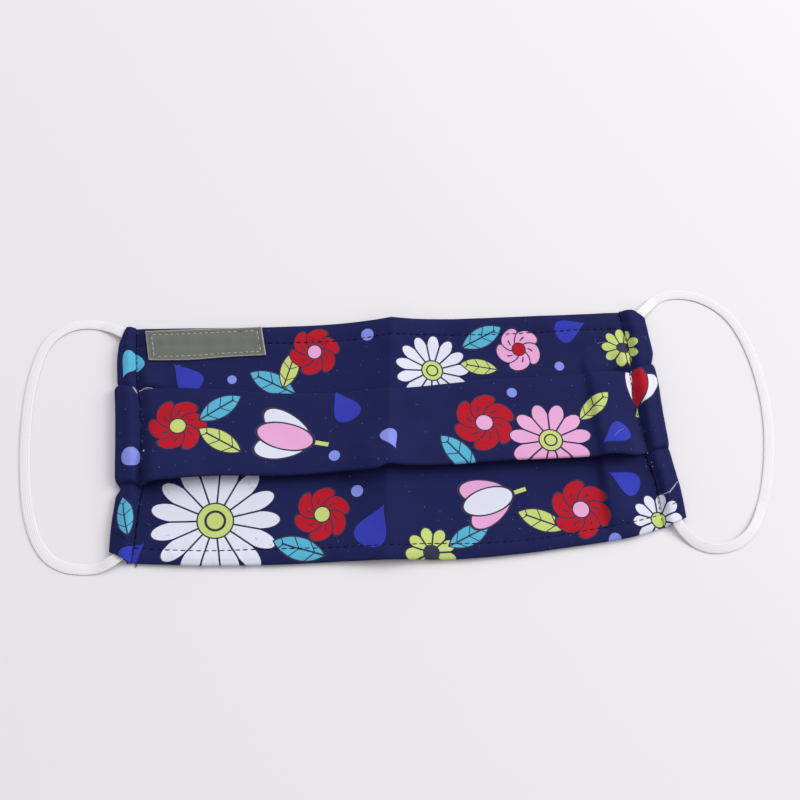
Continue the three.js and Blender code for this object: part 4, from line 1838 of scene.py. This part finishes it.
@dataclass
class Sewing:
    """Every row of stitches on the mask."""

    form: ClothForm
    label: Label
    seam_inset: float = 0.45
    thickness: float = 0.34
    sink: float = 0.18
    label_thickness: float = 0.32
    label_sink: float = 0.13
    label_sides: tuple[float, float] = (1.95, 1.7)
    label_edges: tuple[float, float] = (1.5, 1.35)

    def hem_row(self, name: str, inset: float) -> StitchLine:
        """Return the stitch line along a hem.

        Args:
            name: top or bottom.
            inset: Distance from that edge.

        Returns:
            The row.
        """
        sign = -1 if name == "top" else 1
        end = 1.0 if name == "top" else 0.0
        left, right = (float(self.form.stitch_x(side, end)) for side in Side)
        xs = np.linspace(0.5 - left, right - 1.0, 90)
        wander = 0.25 * np.sin(xs / 9.0)
        ys = self.form.edge(name, xs) + sign * inset + wander
        return StitchLine(list(zip(xs, ys)))

    def side_row(self, side: Side) -> StitchLine:
        """Return the stitch line down one side."""
        x = side.value * self.form.seam_x
        high, low = float(self.form.edge("top", x)), float(self.form.edge("bottom", x))
        ys = np.linspace(high - 0.5, low + 0.5, 60)
        xs = self.form.stitch_x(side, self.form.along(side, ys)) - self.seam_inset
        return StitchLine([(side.value * a, b) for a, b in zip(xs, ys)], *FINE_STITCH)

    def label_rows(self) -> list[StitchLine]:
        """Return the stitch lines round the label."""
        label = self.label
        left, right = -label.length / 2 + self.label_sides[0], label.length / 2 - self.label_sides[1]
        top, low = label.height / 2 - self.label_edges[0], -label.height / 2 + self.label_edges[1]
        ring = [(left, top), (right, top), (right, low), (left, low), (left, top)]
        rows = []
        for (u0, v0), (u1, v1) in zip(ring, ring[1:]):
            shares = np.linspace(0, 1, 30)
            line = [label.place(u0 + (u1 - u0) * s, v0 + (v1 - v0) * s) for s in shares]
            rows.append(StitchLine(line, *FINE_STITCH))
        return rows

    def build(self, cloths: Sequence[BVHTree], tape: BVHTree) -> None:
        """Sew the mask.

        Args:
            cloths: The surfaces of the cloth pieces.
            tape: The label's surface.
        """
        form = self.form
        dark = SewingThread("dark_thread", DARK_THREAD)
        # The side stitches' thread has pale patches that are a painted highlight.
        paled = SewingThread("highlight_painted_thread", DARK_THREAD, linear(88, 94, 112), 1100.0, 0.58)
        hems = [
            self.hem_row("top", form.top_hem - form.top_margin),
            self.hem_row("bottom", form.bottom_hem - form.bottom_margin),
        ]
        corners = [
            StitchLine([
                (-94.3, -29.1), (-92.3, -30.3), (-89.9, -32.2),
                (-88.3, -34.4), (-87.9, -36.3), (-88.3, -38.4),
            ]),
            StitchLine([(95.3, -28.2), (93.1, -29.3), (90.8, -30.4), (89.6, -31.3)]),
        ]
        needle = Needle(self.thickness, self.sink)
        needle.sew("hem_stitches", hems, cloths, dark)
        sides = [self.side_row(Side.LEFT), self.side_row(Side.RIGHT), *corners]
        needle.sew("side_stitches", sides, cloths, paled)
        # The label thread's darker patches are painted shade.
        pale = SewingThread("label_thread", linear(164, 163, 150), linear(66, 66, 62), 620.0, 0.58)
        fine = Needle(self.label_thickness, self.label_sink)
        fine.sew("label_stitches", self.label_rows(), [tape], pale)


def main() -> None:
    """Build the mask, piece by piece."""
    logging.basicConfig(level=logging.INFO, format="%(name)s: %(message)s")
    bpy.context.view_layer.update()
    Studio().build()
    form = ClothForm()
    elastic = KnittedElastic()
    EarLoop(Side.LEFT, LEFT_ROUTE, LEFT_TILTS).build(elastic)
    EarLoop(Side.RIGHT, RIGHT_ROUTE, RIGHT_TILTS).build(elastic)
    cloth = PrintedCloth(form, PrintDesign())
    panel = PleatedPanel(form).build(cloth)
    casings = [SideCasing(form, side).build(cloth) for side in Side]
    ground = surface_of(panel)
    label = Label(form)
    tape = label.build(ground)
    cloths = [ground, *(surface_of(casing) for casing in casings)]
    Sewing(form, label).build(cloths, surface_of(tape))
    Strays(cloths).build()


if __name__ == "__main__":
    main()
